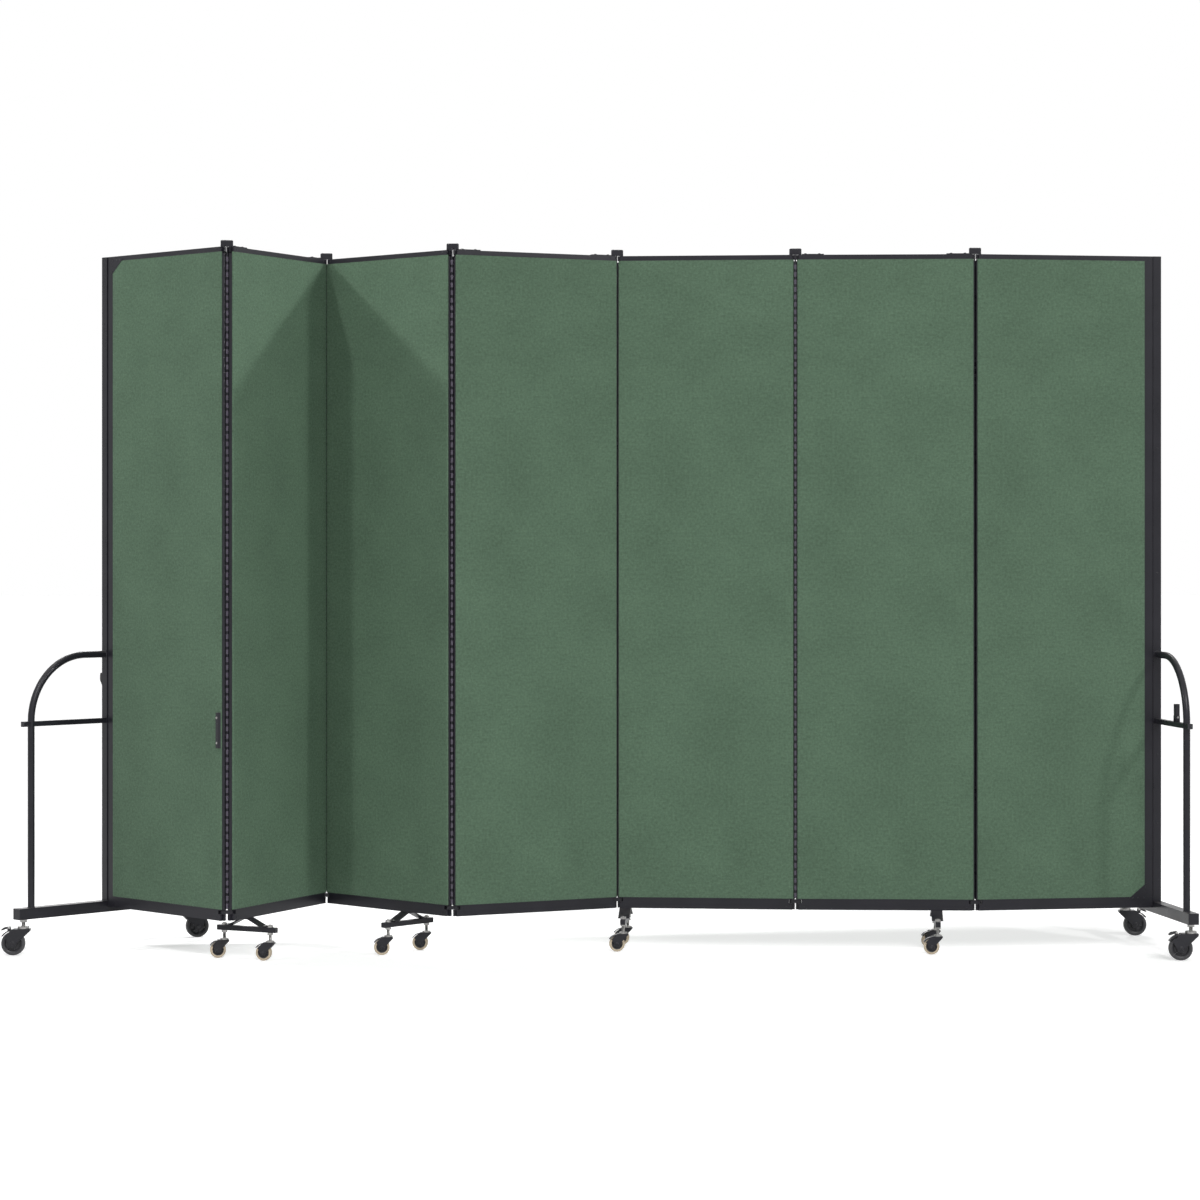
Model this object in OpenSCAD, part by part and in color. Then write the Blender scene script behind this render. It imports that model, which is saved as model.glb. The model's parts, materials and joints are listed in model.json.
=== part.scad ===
// Accordion folding partition: seven fabric panels joined edge to edge by two-pin
// hinges, rolling on caster bars and on a hooped end frame at each end.
// Millimetres, +Z up. The origin is on the floor, at the centre of the footprint.
// A panel's own frame has x along the panel from its left hinge pin, and -y at its front.

/* [Panels] */
// Distance from one hinge's centre to the next
hinge_pitch = 570; // [440:1:700]
// How much wider the two end panels are
end_extra = 14; // [0:1:40]
// Height of a panel, bottom rail to top rail
panel_h = 2084; // [1200:1:2400]
// Space between the floor and the bottom rail
floor_gap = 130; // [118:1:170]
// Thickness of the stiles and the core board
frame_t = 16; // [14:0.5:18]
// Thickness of one face board with its fabric
board_t = 4; // [3:0.25:4.25]
// Height of the top rail
top_rail_h = 15; // [10:1:40]
// Height of the bottom rail
bottom_rail_h = 35; // [34:1:80]
// Width of a stile on a hinged edge, from its outer edge
hinge_stile_w = 31; // [16:1:60]
// Width of the stile on a free end
end_stile_w = 28; // [16:1:60]
// How far a rail reaches past the hinge pin
rail_edge = 5; // [4:0.5:6]
// How far a face board reaches past the hinge pin
board_edge = 8.5; // [6:0.5:9]
// Radius of a face board's upright edges
board_round = 4; // [3.5:0.25:4]

/* [Turn of each panel] */
// Heading of panel 1, seen from above
turn_1 = -45; // [-60:0.5:-30]
// Heading of panel 2
turn_2 = 63.5; // [40:0.5:70]
// Heading of panel 3
turn_3 = -43; // [-60:0.5:-30]
// Heading of panel 4
turn_4 = 25.5; // [10:0.5:40]
// Heading of panel 5
turn_5 = -5.5; // [-10:0.5:5]
// Heading of panel 6
turn_6 = -3; // [-5:0.5:10]
// Heading of panel 7
turn_7 = 9; // [0:0.5:15]

/* [Hinges] */
// Distance between the two pins of a hinge
pin_gap = 28; // [27.5:0.25:32]
// Diameter of a hinge pin
pin_d = 6; // [4:0.5:7]
// Radius of a hinge link's round ends
link_r = 5.5; // [5:0.25:6]
// Height of the cap link on the top rail
cap_h = 20; // [12:1:30]
// Radius of the cap's upper edge
cap_round = 3.5; // [1:0.25:4.5]
// Height of the lower link
low_link_h = 11.4; // [8:0.2:14]
// Height of the slit below the lower link
low_slit_h = 20; // [16:0.5:21]
// Height of the slit below the cap
top_slit_h = 20; // [16:1:60]
// Gap between a stile's nose and the middle of the seam
nose_gap = 0.3; // [0.3:0.05:1]
// Gap between a rail's lip and the middle of the seam
lip_gap = 1.5; // [1.5:0.1:3]
// Thickness of a rail's lip
lip_t = 6; // [3:0.5:10]
// Length of a strap plate beside a hinge
strap_l = 70; // [40:1:120]
// Thickness of a strap plate
strap_t = 3; // [2:0.5:5]
// Width of a strap plate
strap_w = 18; // [10:1:22]

/* [Corner gussets] */
// Length of a gusset along the rail
gusset_w = 60; // [30:1:90]
// Length of a gusset along the stile
gusset_h = 50; // [30:1:90]
// Thickness of a gusset
gusset_t = 1.5; // [1:0.25:2]
// How far a gusset laps onto the rail and the stile
gusset_lap = 6; // [3:1:12]

/* [Caster bars] */
// Hinge centre to the caster bar on panel 2, from hinge 1-2
bar_2_place = 105; // [95:1:120]
// Hinge centre to the caster bar on panel 3, from hinge 3-4
bar_3_place = 198; // [196:1:230]
// Hinge centre to the caster bar on panel 5, from hinge 4-5
bar_5_place = 27; // [26:1:29]
// Hinge centre to the caster bar on panel 6, from hinge 6-7
bar_6_place = 122; // [122:1:150]
// Length of a caster bar
bar_l = 214; // [190:1:230]
// Width and height of a caster bar
bar_t = 16; // [12:1:18]
// Distance of a small stem from its bar's end
stem_inset = 23; // [18:1:30]
// Width of the brace, along the panel
brace_w = 36; // [20:1:36]
// Thickness of the brace
brace_t = 4; // [2:0.5:6]
// Half width of the brace where it meets the rail
brace_top = 11.5; // [8:0.5:11.5]
// Distance of a brace's foot from the small stem
foot_gap = 14; // [13:1:30]

/* [Small casters] */
// Floor to the underside of the caster bar
small_h = 87; // [84:1:95]
// Diameter of a small wheel
small_wheel_d = 50; // [40:1:50]
// Width of a small wheel
small_wheel_w = 18; // [12:1:22]
// Distance of the small axle behind its stem
small_trail = 20; // [14:0.5:20]
// Diameter of a small stem
small_stem_d = 9; // [6:0.5:10]

/* [End frames] */
// Width of an end post, along the panel
post_w = 26; // [20:1:40]
// Depth of an end post, across the panel
post_d = 30; // [20:1:40]
// Wall of the square tubes
wall = 3.25; // [1.5:0.25:4]
// Length of a base bar
base_l = 700; // [640:1:800]
// Width of a base bar
base_w = 34; // [26:1:40]
// Height of a base bar
base_h = 35; // [25:1:45]
// Gap between a base bar and the panel's free edge
base_gap = 0.5; // [0.5:0.1:2]
// Distance of a hoop's upright from its base bar's end
hoop_inset = 50; // [45:1:90]
// Diameter of the hoop's tube
hoop_d = 22; // [16:1:25]
// Radius of the hoop's bend
hoop_bend = 205; // [80:1:210]
// Height of the hoop's top tube
hoop_h = 940; // [850:1:1100]
// Height of the cross bar's middle
cross_z = 727; // [500:1:730]
// Width and height of the cross bar
cross_t = 16; // [10:1:20]
// How far the cross bar sticks out past the hoop
cross_past = 22; // [5:1:40]
// Thickness of the plug's flange in a base bar's end
plug_t = 3; // [2:0.5:6]
// Depth of the plug inside a base bar
plug_in = 14; // [6:1:20]

/* [Large casters] */
// Floor to the underside of a base bar
large_h = 113; // [110:1:125]
// Distance of a large stem from its base bar's end
large_inset = 24; // [24:1:35]
// Diameter of a large wheel
large_wheel_d = 75; // [60:1:75]
// Width of a large wheel
large_wheel_w = 26; // [18:1:30]
// Distance of the large axle behind its stem
large_trail = 32; // [24:1:32]
// Diameter of a large stem
large_stem_d = 11; // [8:0.5:13]

/* [Latch and stop] */
// Distance of the latch from the panel's middle
latch_out = 205; // [203:1:230]
// Width of the latch
latch_w = 17; // [10:0.5:18]
// Thickness of the latch
latch_t = 14; // [8:0.5:16]
// Reach of the latch from its pivot
latch_reach = 42; // [38:1:46]
// Diameter of the latch's pivot pin
latch_pin_d = 5; // [3:0.5:6]
// Height of the keeper's lower end
keeper_z = 664; // [560:1:700]
// Height of the keeper
keeper_h = 110; // [90:1:160]
// Width of the keeper, along the panel
keeper_w = 10; // [6:0.5:12]
// How far the keeper stands off the panel
keeper_t = 12; // [8:0.5:12]
// Height of the post stop's lower end
stop_z = 837; // [300:1:1500]
// Height of the post stop
stop_h = 42; // [20:1:60]
// How far the post stop stands off the post
stop_t = 12; // [6:1:20]

/* [Running clearances] */
// Radial clearance of a pin, stem or axle
fit = 0.05; // [0.02:0.01:0.09]
// Gap between pieces that turn past each other
gap = 0.5; // [0.3:0.1:0.8]
// Joint line between pieces fastened face to face
seam = 0.05; // [0.02:0.01:0.1]

/* [Hidden] */
$fn = 48;

// Colours
BLACK = "#1c1d22";
GREEN = "#4d6b55";
ZINC = "#b4b6b8";
CREAM = "#c9b48a";
GREY = "#3a3b3f";
RUBBER = "#26262a";

// Panel
last = 6;
span = hinge_pitch - pin_gap;
panel_t = frame_t + 2 * board_t;
panel_top = floor_gap + panel_h;
board_low = floor_gap + bottom_rail_h;
board_high = panel_top - top_rail_h;
rail_round = 3;
free_edge = pin_gap / 2 + end_extra;
nose_r = pin_gap / 2 - nose_gap;
lip_r = pin_gap / 2 - lip_gap;
bore_r = pin_d / 2 + fit;

// Hinge
low_link_z = floor_gap + low_slit_h + gap;
pin_low = floor_gap + 1;
cap_z = panel_top + 2 * gap;
pin_in = cap_h * 0.6;
pin_high = cap_z + pin_in;

// Caster bars, their places measured from the left pin of their panels
bar_z = small_h;
bar_top = bar_z + bar_t;
stem_out = bar_l / 2 - stem_inset;
brace_foot = stem_out - foot_gap;
foot_flat = 10;
bar_2_x = bar_2_place - pin_gap / 2;
bar_3_x = span - bar_3_place + pin_gap / 2;
bar_5_x = bar_5_place - pin_gap / 2;
bar_6_x = span - bar_6_place + pin_gap / 2;

// End frame
base_z = large_h;
base_top = base_z + base_h;
base_mid = base_gap + base_w / 2;
hoop_out = base_l / 2 - hoop_inset;
large_out = base_l / 2 - large_inset;
tube_mid = post_w / 2;
latch_z = cross_z + cross_t / 2 + latch_t;
ear_t = 2;
ear_h = latch_t + latch_pin_d;

// Brake pedal: its pin stands behind the large axle and above the wheel
brake_back = 13;
brake_rise = 11;
brake_x = large_trail + brake_back;
brake_z = large_wheel_d + brake_rise;
brake_w = 18;
brake_pin_d = 4;
brake_tab = 25;
brake_lip = 3;
brake_barrel = 8;

// Plan of the chain: heading and left pin of each panel, before centring
turns = [turn_1, turn_2, turn_3, turn_4, turn_5, turn_6, turn_7];
function heading(a) = [cos(a), sin(a)];
function link_turn(j) = (turns[j] + turns[j + 1]) / 2;
function chain(i) = i == 0
    ? [0, 0]
    : chain(i - 1) + span * heading(turns[i - 1]) + pin_gap * heading(link_turn(i - 1));
function spot(i, x, y) = chain(i) + x * heading(turns[i]) + y * heading(turns[i] + 90);

// Headings in which the casters trail at rest
small_turn = [[172, 188], [186, 176], [183, 170], [178, 190]];
large_turn = [180, 20, 178, 2];
large_reach = 70;

// Outermost points on the floor, which centre the footprint
end_x = [-free_edge - base_mid, span + free_edge + base_mid];
outer = concat(
    [for (e = [0, 1], s = [-1, 1], w = [-1, 1])
        spot(e * last, end_x[e] + w * base_w / 2, s * base_l / 2)],
    [for (k = [0 : 3])
        spot(floor(k / 2) * last, end_x[floor(k / 2)], (k % 2 == 0 ? -1 : 1) * large_out)
            + large_reach * heading(large_turn[k])],
    [for (i = [1 : last], s = [-1, 1]) spot(i, 0, s * panel_t / 2)]
);
mid_x = (min([for (p = outer) p.x]) + max([for (p = outer) p.x])) / 2;
mid_y = (min([for (p = outer) p.y]) + max([for (p = outer) p.y])) / 2;

module at_panel(i) {
    translate([chain(i).x - mid_x, chain(i).y - mid_y, 0]) rotate(turns[i]) children();
}

// Place of hinge j: its first pin is the right pin of panel j
module at_hinge(j) {
    at_panel(j) translate([span, 0, 0]) rotate(link_turn(j) - turns[j]) children();
}

// A flat bar whose ends at x0 and x1 have upright corners of radius r0 and r1
module soft_bar(x0, x1, t, h, r0, r1) {
    translate([x0 + r0, -t / 2, 0]) cube([x1 - x0 - r0 - r1, t, h]);
    if (r0 > 0) soft_end(x0 + r0, -r0, t, h, r0);
    if (r1 > 0) soft_end(x1 - r1, 0, t, h, r1);
}

module soft_end(x, shift, t, h, r) {
    translate([x + shift, -t / 2 + r, 0]) cube([r, t - 2 * r, h]);
    for (s = [-1, 1]) translate([x, s * (t / 2 - r), 0]) cylinder(r = r, h = h);
}

// Closing strip round a left pin: radius r, thickness t
module strip(r, t, h) {
    intersection() {
        cylinder(r = r, h = h);
        translate([-r, -t / 2, 0]) cube([r + 0.01, t, h]);
    }
}

// Children at the hinge pins of panel i, turned outwards at the right pin
module at_pins(i) {
    if (i > 0) children();
    if (i < last) translate([span, 0, 0]) mirror([1, 0, 0]) children();
}

// One rail of panel i with its lips, pin bores and room for the lower link
module rail(i, z, h, notch) {
    x0 = i > 0 ? -rail_edge : -free_edge;
    x1 = i < last ? span + rail_edge : span + free_edge;
    translate([0, 0, z]) difference() {
        union() {
            soft_bar(x0, x1, panel_t, h, i > 0 ? rail_round : 0, i < last ? rail_round : 0);
            at_pins(i) strip(lip_r, lip_t, h);
        }
        at_pins(i) translate([0, 0, -1]) cylinder(r = bore_r, h = h + 2);
        if (notch) at_pins(i) translate([-pin_gap, -panel_t, low_slit_h])
            cube([pin_gap + link_r + gap, 2 * panel_t, low_link_h + 2 * gap]);
    }
}

// A hinged stile at a left pin, with the nose that closes the seam
module hinge_stile() {
    h = board_high - board_low - 2 * seam;
    translate([0, 0, board_low + seam]) difference() {
        union() {
            translate([-rail_edge, -frame_t / 2, 0]) cube([hinge_stile_w, frame_t, h]);
            strip(nose_r, frame_t, h - top_slit_h + top_rail_h);
        }
        translate([0, 0, -1]) cylinder(r = bore_r, h = h + 2);
    }
}

module end_stile(x) {
    translate([x, -panel_t / 2, board_low + seam])
        cube([end_stile_w, panel_t, board_high - board_low - 2 * seam]);
}

// Strap plates lie on the top rail beside the hinges
module strap() {
    translate([link_r + 2 * gap, -strap_w / 2, panel_top + seam]) cube([strap_l, strap_w, strap_t]);
}

// Gusset with its corner at the origin, its legs along +x and -z
module gusset() {
    for (s = [-1, 1]) translate([0, s * ((panel_t + gusset_t) / 2 + seam) + gusset_t / 2, 0])
        rotate([90, 0, 0]) linear_extrude(gusset_t) polygon([[0, 0], [gusset_w, 0], [0, -gusset_h]]);
}

module panel_frame(i) {
    color(BLACK) at_panel(i) {
        rail(i, floor_gap, bottom_rail_h, true);
        rail(i, board_high, top_rail_h, false);
        at_pins(i) hinge_stile();
        if (i == 0) end_stile(-free_edge);
        if (i == last) end_stile(span + free_edge - end_stile_w);
        if (i % 2 == 1) at_pins(i) strap();
        if (i == 0) translate([end_stile_w - free_edge - gusset_lap, 0, board_high + gusset_lap])
            gusset();
        if (i == last)
            translate([span + free_edge - end_stile_w + gusset_lap, 0, board_low - gusset_lap])
            rotate([0, 180, 0]) gusset();
    }
}

// Face board on the +y side, with a rounded edge where it meets a hinge
module face_board(i, x0, x1, h) {
    r0 = i > 0 ? board_round : 0;
    r1 = i < last ? board_round : 0;
    back = frame_t / 2 + seam;
    intersection() {
        union() {
            translate([x0 + r0, back, 0]) cube([x1 - x0 - r0 - r1, panel_t / 2 - back, h]);
            if (r0 > 0) translate([x0 + r0, panel_t / 2 - r0, 0]) cylinder(r = r0, h = h);
            if (r1 > 0) translate([x1 - r1, panel_t / 2 - r1, 0]) cylinder(r = r1, h = h);
        }
        translate([x0, back, 0]) cube([x1 - x0, board_t, h]);
    }
}

module panel_boards(i) {
    h = board_high - board_low - 2 * seam;
    x0 = i > 0 ? -board_edge : end_stile_w - free_edge + seam;
    x1 = i < last ? span + board_edge : span + free_edge - end_stile_w - seam;
    core_0 = i > 0 ? hinge_stile_w - rail_edge + seam : x0;
    core_1 = i < last ? span + rail_edge - hinge_stile_w - seam : x1;
    color(GREEN) at_panel(i) translate([0, 0, board_low + seam]) {
        face_board(i, x0, x1, h);
        mirror([0, 1, 0]) face_board(i, x0, x1, h);
        translate([core_0, -frame_t / 2, 0]) cube([core_1 - core_0, frame_t, h]);
    }
}

// Half outline of the cap, from its pin outwards
module cap_outline() {
    difference() {
        square([link_r, cap_h]);
        translate([link_r - cap_round, cap_h - cap_round]) difference() {
            square(2 * cap_round);
            circle(r = cap_round);
        }
    }
}

module cap_link() {
    difference() {
        union() {
            for (x = [0, pin_gap]) translate([x, 0, 0]) rotate_extrude() cap_outline();
            for (s = [0, 1]) mirror([0, s, 0])
                rotate([90, 0, 90]) linear_extrude(pin_gap) cap_outline();
        }
        for (x = [0, pin_gap]) translate([x, 0, -1]) cylinder(r = bore_r, h = pin_in + seam + 1);
    }
}

module low_link() {
    difference() {
        union() {
            for (x = [0, pin_gap]) translate([x, 0, 0]) cylinder(r = link_r, h = low_link_h);
            translate([0, -link_r, 0]) cube([pin_gap, 2 * link_r, low_link_h]);
        }
        for (x = [0, pin_gap]) translate([x, 0, -1]) cylinder(r = bore_r, h = low_link_h + 2);
    }
}

module hinge(j) {
    color(BLACK) at_hinge(j) {
        translate([0, 0, cap_z]) cap_link();
        translate([0, 0, low_link_z]) low_link();
        for (x = [0, pin_gap]) translate([x, 0, pin_low]) cylinder(d = pin_d, h = pin_high - pin_low);
    }
}

// Place of an end frame: x outwards from the panel's free edge
module at_left_end() {
    at_panel(0) translate([-free_edge, 0, 0]) rotate(180) children();
}

module at_right_end() {
    at_panel(last) translate([span + free_edge, 0, 0]) children();
}

// One side of the hoop with its half of the cross bar
module half_hoop() {
    bend_z = hoop_h - hoop_bend;
    bend_y = hoop_out - hoop_bend;
    post_side = post_d / 2 + seam;
    translate([tube_mid, 0, 0]) {
        translate([0, hoop_out, base_top + seam]) cylinder(d = hoop_d, h = bend_z - base_top - seam);
        translate([0, bend_y, bend_z]) rotate([90, 0, 90])
            rotate_extrude(angle = 90) translate([hoop_bend, 0]) circle(d = hoop_d);
        translate([0, post_side, hoop_h]) rotate([-90, 0, 0])
            cylinder(d = hoop_d, h = bend_y - post_side);
        translate([-cross_t / 2, post_side, cross_z - cross_t / 2])
            cube([cross_t, hoop_out + hoop_d / 2 + cross_past - post_side, cross_t]);
    }
}

module square_tube(w, d, h) {
    difference() {
        cube([w, d, h]);
        translate([wall, wall, -1]) cube([w - 2 * wall, d - 2 * wall, h - wall + 1]);
    }
}

module base_bar() {
    inner_w = base_w - 2 * wall;
    inner_h = base_h - 2 * wall;
    translate([base_gap, 0, base_z]) {
        difference() {
            translate([0, -base_l / 2, 0]) cube([base_w, base_l, base_h]);
            translate([wall, -base_l / 2 - 1, wall]) cube([inner_w, base_l + 2, inner_h]);
            for (s = [-1, 1]) translate([base_w / 2, s * large_out, -1])
                cylinder(r = large_stem_d / 2 + fit, h = wall + 2);
        }
        for (s = [0, 1]) mirror([0, s, 0]) translate([0, base_l / 2 + seam, 0]) {
            cube([base_w, plug_t, base_h]);
            translate([wall + seam, -plug_in, wall + seam])
                cube([inner_w - 2 * seam, plug_in, inner_h - 2 * seam]);
        }
    }
}

module end_frame() {
    translate([0, -post_d / 2, base_top + seam])
        square_tube(post_w, post_d, panel_top - base_top - seam);
    half_hoop();
    mirror([0, 1, 0]) half_hoop();
    base_bar();
}

// Ears and pin that carry the latch on the front half of the cross bar
module latch_ears() {
    top = cross_z + cross_t / 2;
    for (s = [-1, 1])
        translate([tube_mid - latch_t / 2, -latch_out + s * (latch_w / 2 + gap) - (s < 0 ? ear_t : 0), top])
        cube([latch_t, ear_t, ear_h]);
    translate([tube_mid, -latch_out + latch_w / 2 + gap + ear_t, latch_z]) rotate([90, 0, 0])
        cylinder(d = latch_pin_d, h = latch_w + 2 * gap + 2 * ear_t);
}

module left_end_frame() {
    color(BLACK) at_left_end() end_frame();
}

module right_end_frame() {
    color(BLACK) at_right_end() {
        end_frame();
        latch_ears();
    }
}

module fold_latch() {
    color(GREY) at_right_end() translate([tube_mid, -latch_out, latch_z]) difference() {
        union() {
            translate([-latch_t / 2, -latch_w / 2, 0]) cube([latch_t, latch_w, latch_reach]);
            rotate([90, 0, 0]) translate([0, 0, -latch_w / 2]) cylinder(d = latch_t, h = latch_w);
        }
        rotate([90, 0, 0]) translate([0, 0, -latch_w])
            cylinder(r = latch_pin_d / 2 + fit, h = 2 * latch_w);
    }
}

module latch_keeper() {
    edge = span + board_edge - 2;
    color(GREY) at_panel(0) translate([edge - keeper_w, -panel_t / 2 - keeper_t, keeper_z])
        cube([keeper_w, keeper_t, keeper_h]);
}

// The stop's outer face is shorter than its back, with a sloping lower side
module post_stop() {
    color(RUBBER) at_left_end() translate([post_w, post_d / 2 - 1, stop_z]) rotate([90, 0, 0])
        linear_extrude(post_d - 2)
        polygon([
            [0, 0], [stop_t, stop_h * 0.45], [stop_t, stop_h * 0.8],
            [stop_t * 0.8, stop_h], [0, stop_h]
        ]);
}

// Half outline of the brace seen along the panel, mirrored for the other arm
module brace_half() {
    polygon([
        [0, floor_gap - brace_t], [0, floor_gap], [brace_top, floor_gap],
        [brace_foot - foot_flat, bar_top + brace_t], [brace_foot, bar_top + brace_t],
        [brace_foot, bar_top + seam], [brace_foot - foot_flat - 2, bar_top + seam],
        [brace_top, floor_gap - brace_t]
    ]);
}

module caster_bar(i, x) {
    color(BLACK) at_panel(i) translate([x, 0, 0]) {
        difference() {
            translate([-bar_t / 2, -bar_l / 2, bar_z]) cube([bar_t, bar_l, bar_t]);
            for (s = [-1, 1]) translate([0, s * stem_out, bar_z - 1])
                cylinder(r = small_stem_d / 2 + fit, h = bar_t + 2);
        }
        translate([-brace_w / 2, 0, 0]) rotate([90, 0, 90]) linear_extrude(brace_w) {
            brace_half();
            mirror([1, 0]) brace_half();
        }
    }
}

// Fork of a caster: stem on the z axis, wheel trailing along +x. The stem passes through
// a bar's wall of the given thickness at height seat, between a collar and a nut.
module fork(wheel_d, wheel_w, trail, stem_d, seat, thick) {
    axle_z = wheel_d / 2;
    plate_z = wheel_d + 3;
    plate_t = wheel_d * 0.08;
    cheek_t = wheel_w * 0.16;
    cheek_y = wheel_w / 2 + 1;
    hood_r = wheel_d / 2 + 2;
    nose_x = -wheel_d * 0.3;
    boss_r = wheel_d * 0.16;
    housing_h = wheel_d * 0.1;
    stem_z = plate_z + plate_t + seam;
    nut_h = stem_d * 0.7;
    nut_z = seat + thick + gap;
    color(GREY) {
        for (s = [0, 1]) mirror([0, s, 0]) translate([0, cheek_y + cheek_t, 0]) rotate([90, 0, 0]) {
            linear_extrude(cheek_t) polygon([
                [nose_x, plate_z], [nose_x + plate_t, plate_z + plate_t], [trail, plate_z + plate_t],
                [trail + wheel_d * 0.36, axle_z + wheel_d * 0.3],
                [trail + boss_r, axle_z], [trail - boss_r, axle_z]
            ]);
            translate([trail, axle_z, 0]) cylinder(r = boss_r, h = cheek_t);
        }
        translate([nose_x, -cheek_y, plate_z]) cube([trail - nose_x, 2 * cheek_y, plate_t]);
        intersection() {
            translate([trail, cheek_y, axle_z]) rotate([90, 0, 0]) difference() {
                cylinder(r = hood_r + plate_t * 0.6, h = 2 * cheek_y);
                translate([0, 0, -1]) cylinder(r = hood_r, h = 2 * cheek_y + 2);
            }
            translate([trail, -cheek_y, axle_z + wheel_d * 0.3]) cube([wheel_d, 2 * cheek_y, wheel_d]);
        }
        translate([trail, cheek_y + cheek_t, axle_z]) rotate([90, 0, 0])
            cylinder(r = wheel_d * 0.06, h = 2 * (cheek_y + cheek_t));
    }
    color(ZINC) {
        translate([0, 0, stem_z]) {
            cylinder(d = wheel_w * 1.3, h = housing_h);
            cylinder(d = stem_d, h = nut_z + nut_h + 2 - stem_z);
        }
        translate([0, 0, seat - gap - nut_h]) cylinder(d = stem_d * 1.7, h = nut_h);
        translate([0, 0, nut_z]) difference() {
            cylinder(d = stem_d * 1.7, h = nut_h);
            translate([0, 0, -1]) cylinder(r = stem_d / 2 + seam, h = nut_h + 2);
        }
    }
}

module wheel(wheel_d, wheel_w, trail, tread) {
    bore = wheel_d * 0.06 + fit;
    hub_r = wheel_d * 0.39;
    translate([trail, wheel_w / 2, wheel_d / 2]) rotate([90, 0, 0]) {
        color(tread) difference() {
            cylinder(d = wheel_d, h = wheel_w);
            translate([0, 0, -1]) cylinder(r = hub_r + seam, h = wheel_w + 2);
        }
        color(GREY) difference() {
            cylinder(r = hub_r, h = wheel_w);
            translate([0, 0, -1]) cylinder(r = bore, h = wheel_w + 2);
        }
    }
}

// Place of the small caster k (0 front, 1 back) on the bar at x of panel i
module at_small(i, x, b, k) {
    at_panel(i) translate([x, (k == 0 ? -1 : 1) * stem_out, 0])
        rotate(small_turn[b][k] - turns[i]) children();
}

module small_fork(i, x, b, k) {
    at_small(i, x, b, k)
        fork(small_wheel_d, small_wheel_w, small_trail, small_stem_d, bar_z, bar_t);
}

module small_wheel(i, x, b, k) {
    at_small(i, x, b, k) wheel(small_wheel_d, small_wheel_w, small_trail, CREAM);
}

// Place of the large caster k: left front, left back, right front, right back
module at_large(k) {
    i = floor(k / 2) * last;
    at_panel(i) translate([end_x[floor(k / 2)], (k % 2 == 0 ? -1 : 1) * large_out, 0])
        rotate(large_turn[k] - turns[i]) children();
}

// Ears on the hood, and the pin between them, that carry the brake pedal
module brake_ears() {
    ear_y = brake_w / 2 + gap;
    translate([brake_x, 0, 0]) {
        for (s = [0, 1]) mirror([0, s, 0]) {
            translate([-brake_barrel / 2, ear_y, large_wheel_d])
                cube([brake_barrel, ear_t, brake_z - large_wheel_d]);
            translate([0, ear_y + ear_t, brake_z]) rotate([90, 0, 0])
                cylinder(d = brake_barrel, h = ear_t);
        }
        translate([0, ear_y + ear_t, brake_z]) rotate([90, 0, 0])
            cylinder(d = brake_pin_d, h = 2 * (ear_y + ear_t));
    }
}

module large_fork(k) {
    at_large(k) {
        fork(large_wheel_d, large_wheel_w, large_trail, large_stem_d, base_z, wall);
        color(GREY) brake_ears();
    }
}

module large_wheel(k) {
    at_large(k) wheel(large_wheel_d, large_wheel_w, large_trail, RUBBER);
}

// Brake pedal: a barrel on the ears' pin and a tab above the wheel's back
module large_brake(k) {
    half = brake_barrel / 2;
    color(RUBBER) at_large(k) translate([brake_x, brake_w / 2, brake_z]) rotate([90, 0, 0]) difference() {
        union() {
            cylinder(r = half, h = brake_w);
            linear_extrude(brake_w) polygon([
                [0, 1 - half], [0, half], [brake_tab * 0.7, 1],
                [brake_tab, -1.5 * half], [brake_tab - brake_lip, -2 * half], [2 * half, 1 - half]
            ]);
        }
        translate([0, 0, -1]) cylinder(r = brake_pin_d / 2 + fit, h = brake_w + 2);
    }
}

panel_frame(0);  // panel_1_frame
panel_boards(0);  // panel_1_boards
panel_frame(1);  // panel_2_frame
panel_boards(1);  // panel_2_boards
panel_frame(2);  // panel_3_frame
panel_boards(2);  // panel_3_boards
panel_frame(3);  // panel_4_frame
panel_boards(3);  // panel_4_boards
panel_frame(4);  // panel_5_frame
panel_boards(4);  // panel_5_boards
panel_frame(5);  // panel_6_frame
panel_boards(5);  // panel_6_boards
panel_frame(6);  // panel_7_frame
panel_boards(6);  // panel_7_boards
hinge(0);  // hinge_12
hinge(1);  // hinge_23
hinge(2);  // hinge_34
hinge(3);  // hinge_45
hinge(4);  // hinge_56
hinge(5);  // hinge_67
left_end_frame();
right_end_frame();
fold_latch();
latch_keeper();
post_stop();
caster_bar(1, bar_2_x);  // caster_bar_2
caster_bar(2, bar_3_x);  // caster_bar_3
caster_bar(4, bar_5_x);  // caster_bar_5
caster_bar(5, bar_6_x);  // caster_bar_6
small_fork(1, bar_2_x, 0, 0);  // caster_2_front_fork
small_wheel(1, bar_2_x, 0, 0);  // caster_2_front_wheel
small_fork(1, bar_2_x, 0, 1);  // caster_2_back_fork
small_wheel(1, bar_2_x, 0, 1);  // caster_2_back_wheel
small_fork(2, bar_3_x, 1, 0);  // caster_3_front_fork
small_wheel(2, bar_3_x, 1, 0);  // caster_3_front_wheel
small_fork(2, bar_3_x, 1, 1);  // caster_3_back_fork
small_wheel(2, bar_3_x, 1, 1);  // caster_3_back_wheel
small_fork(4, bar_5_x, 2, 0);  // caster_5_front_fork
small_wheel(4, bar_5_x, 2, 0);  // caster_5_front_wheel
small_fork(4, bar_5_x, 2, 1);  // caster_5_back_fork
small_wheel(4, bar_5_x, 2, 1);  // caster_5_back_wheel
small_fork(5, bar_6_x, 3, 0);  // caster_6_front_fork
small_wheel(5, bar_6_x, 3, 0);  // caster_6_front_wheel
small_fork(5, bar_6_x, 3, 1);  // caster_6_back_fork
small_wheel(5, bar_6_x, 3, 1);  // caster_6_back_wheel
large_fork(0);  // left_front_fork
large_wheel(0);  // left_front_wheel
large_brake(0);  // left_front_brake
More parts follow.
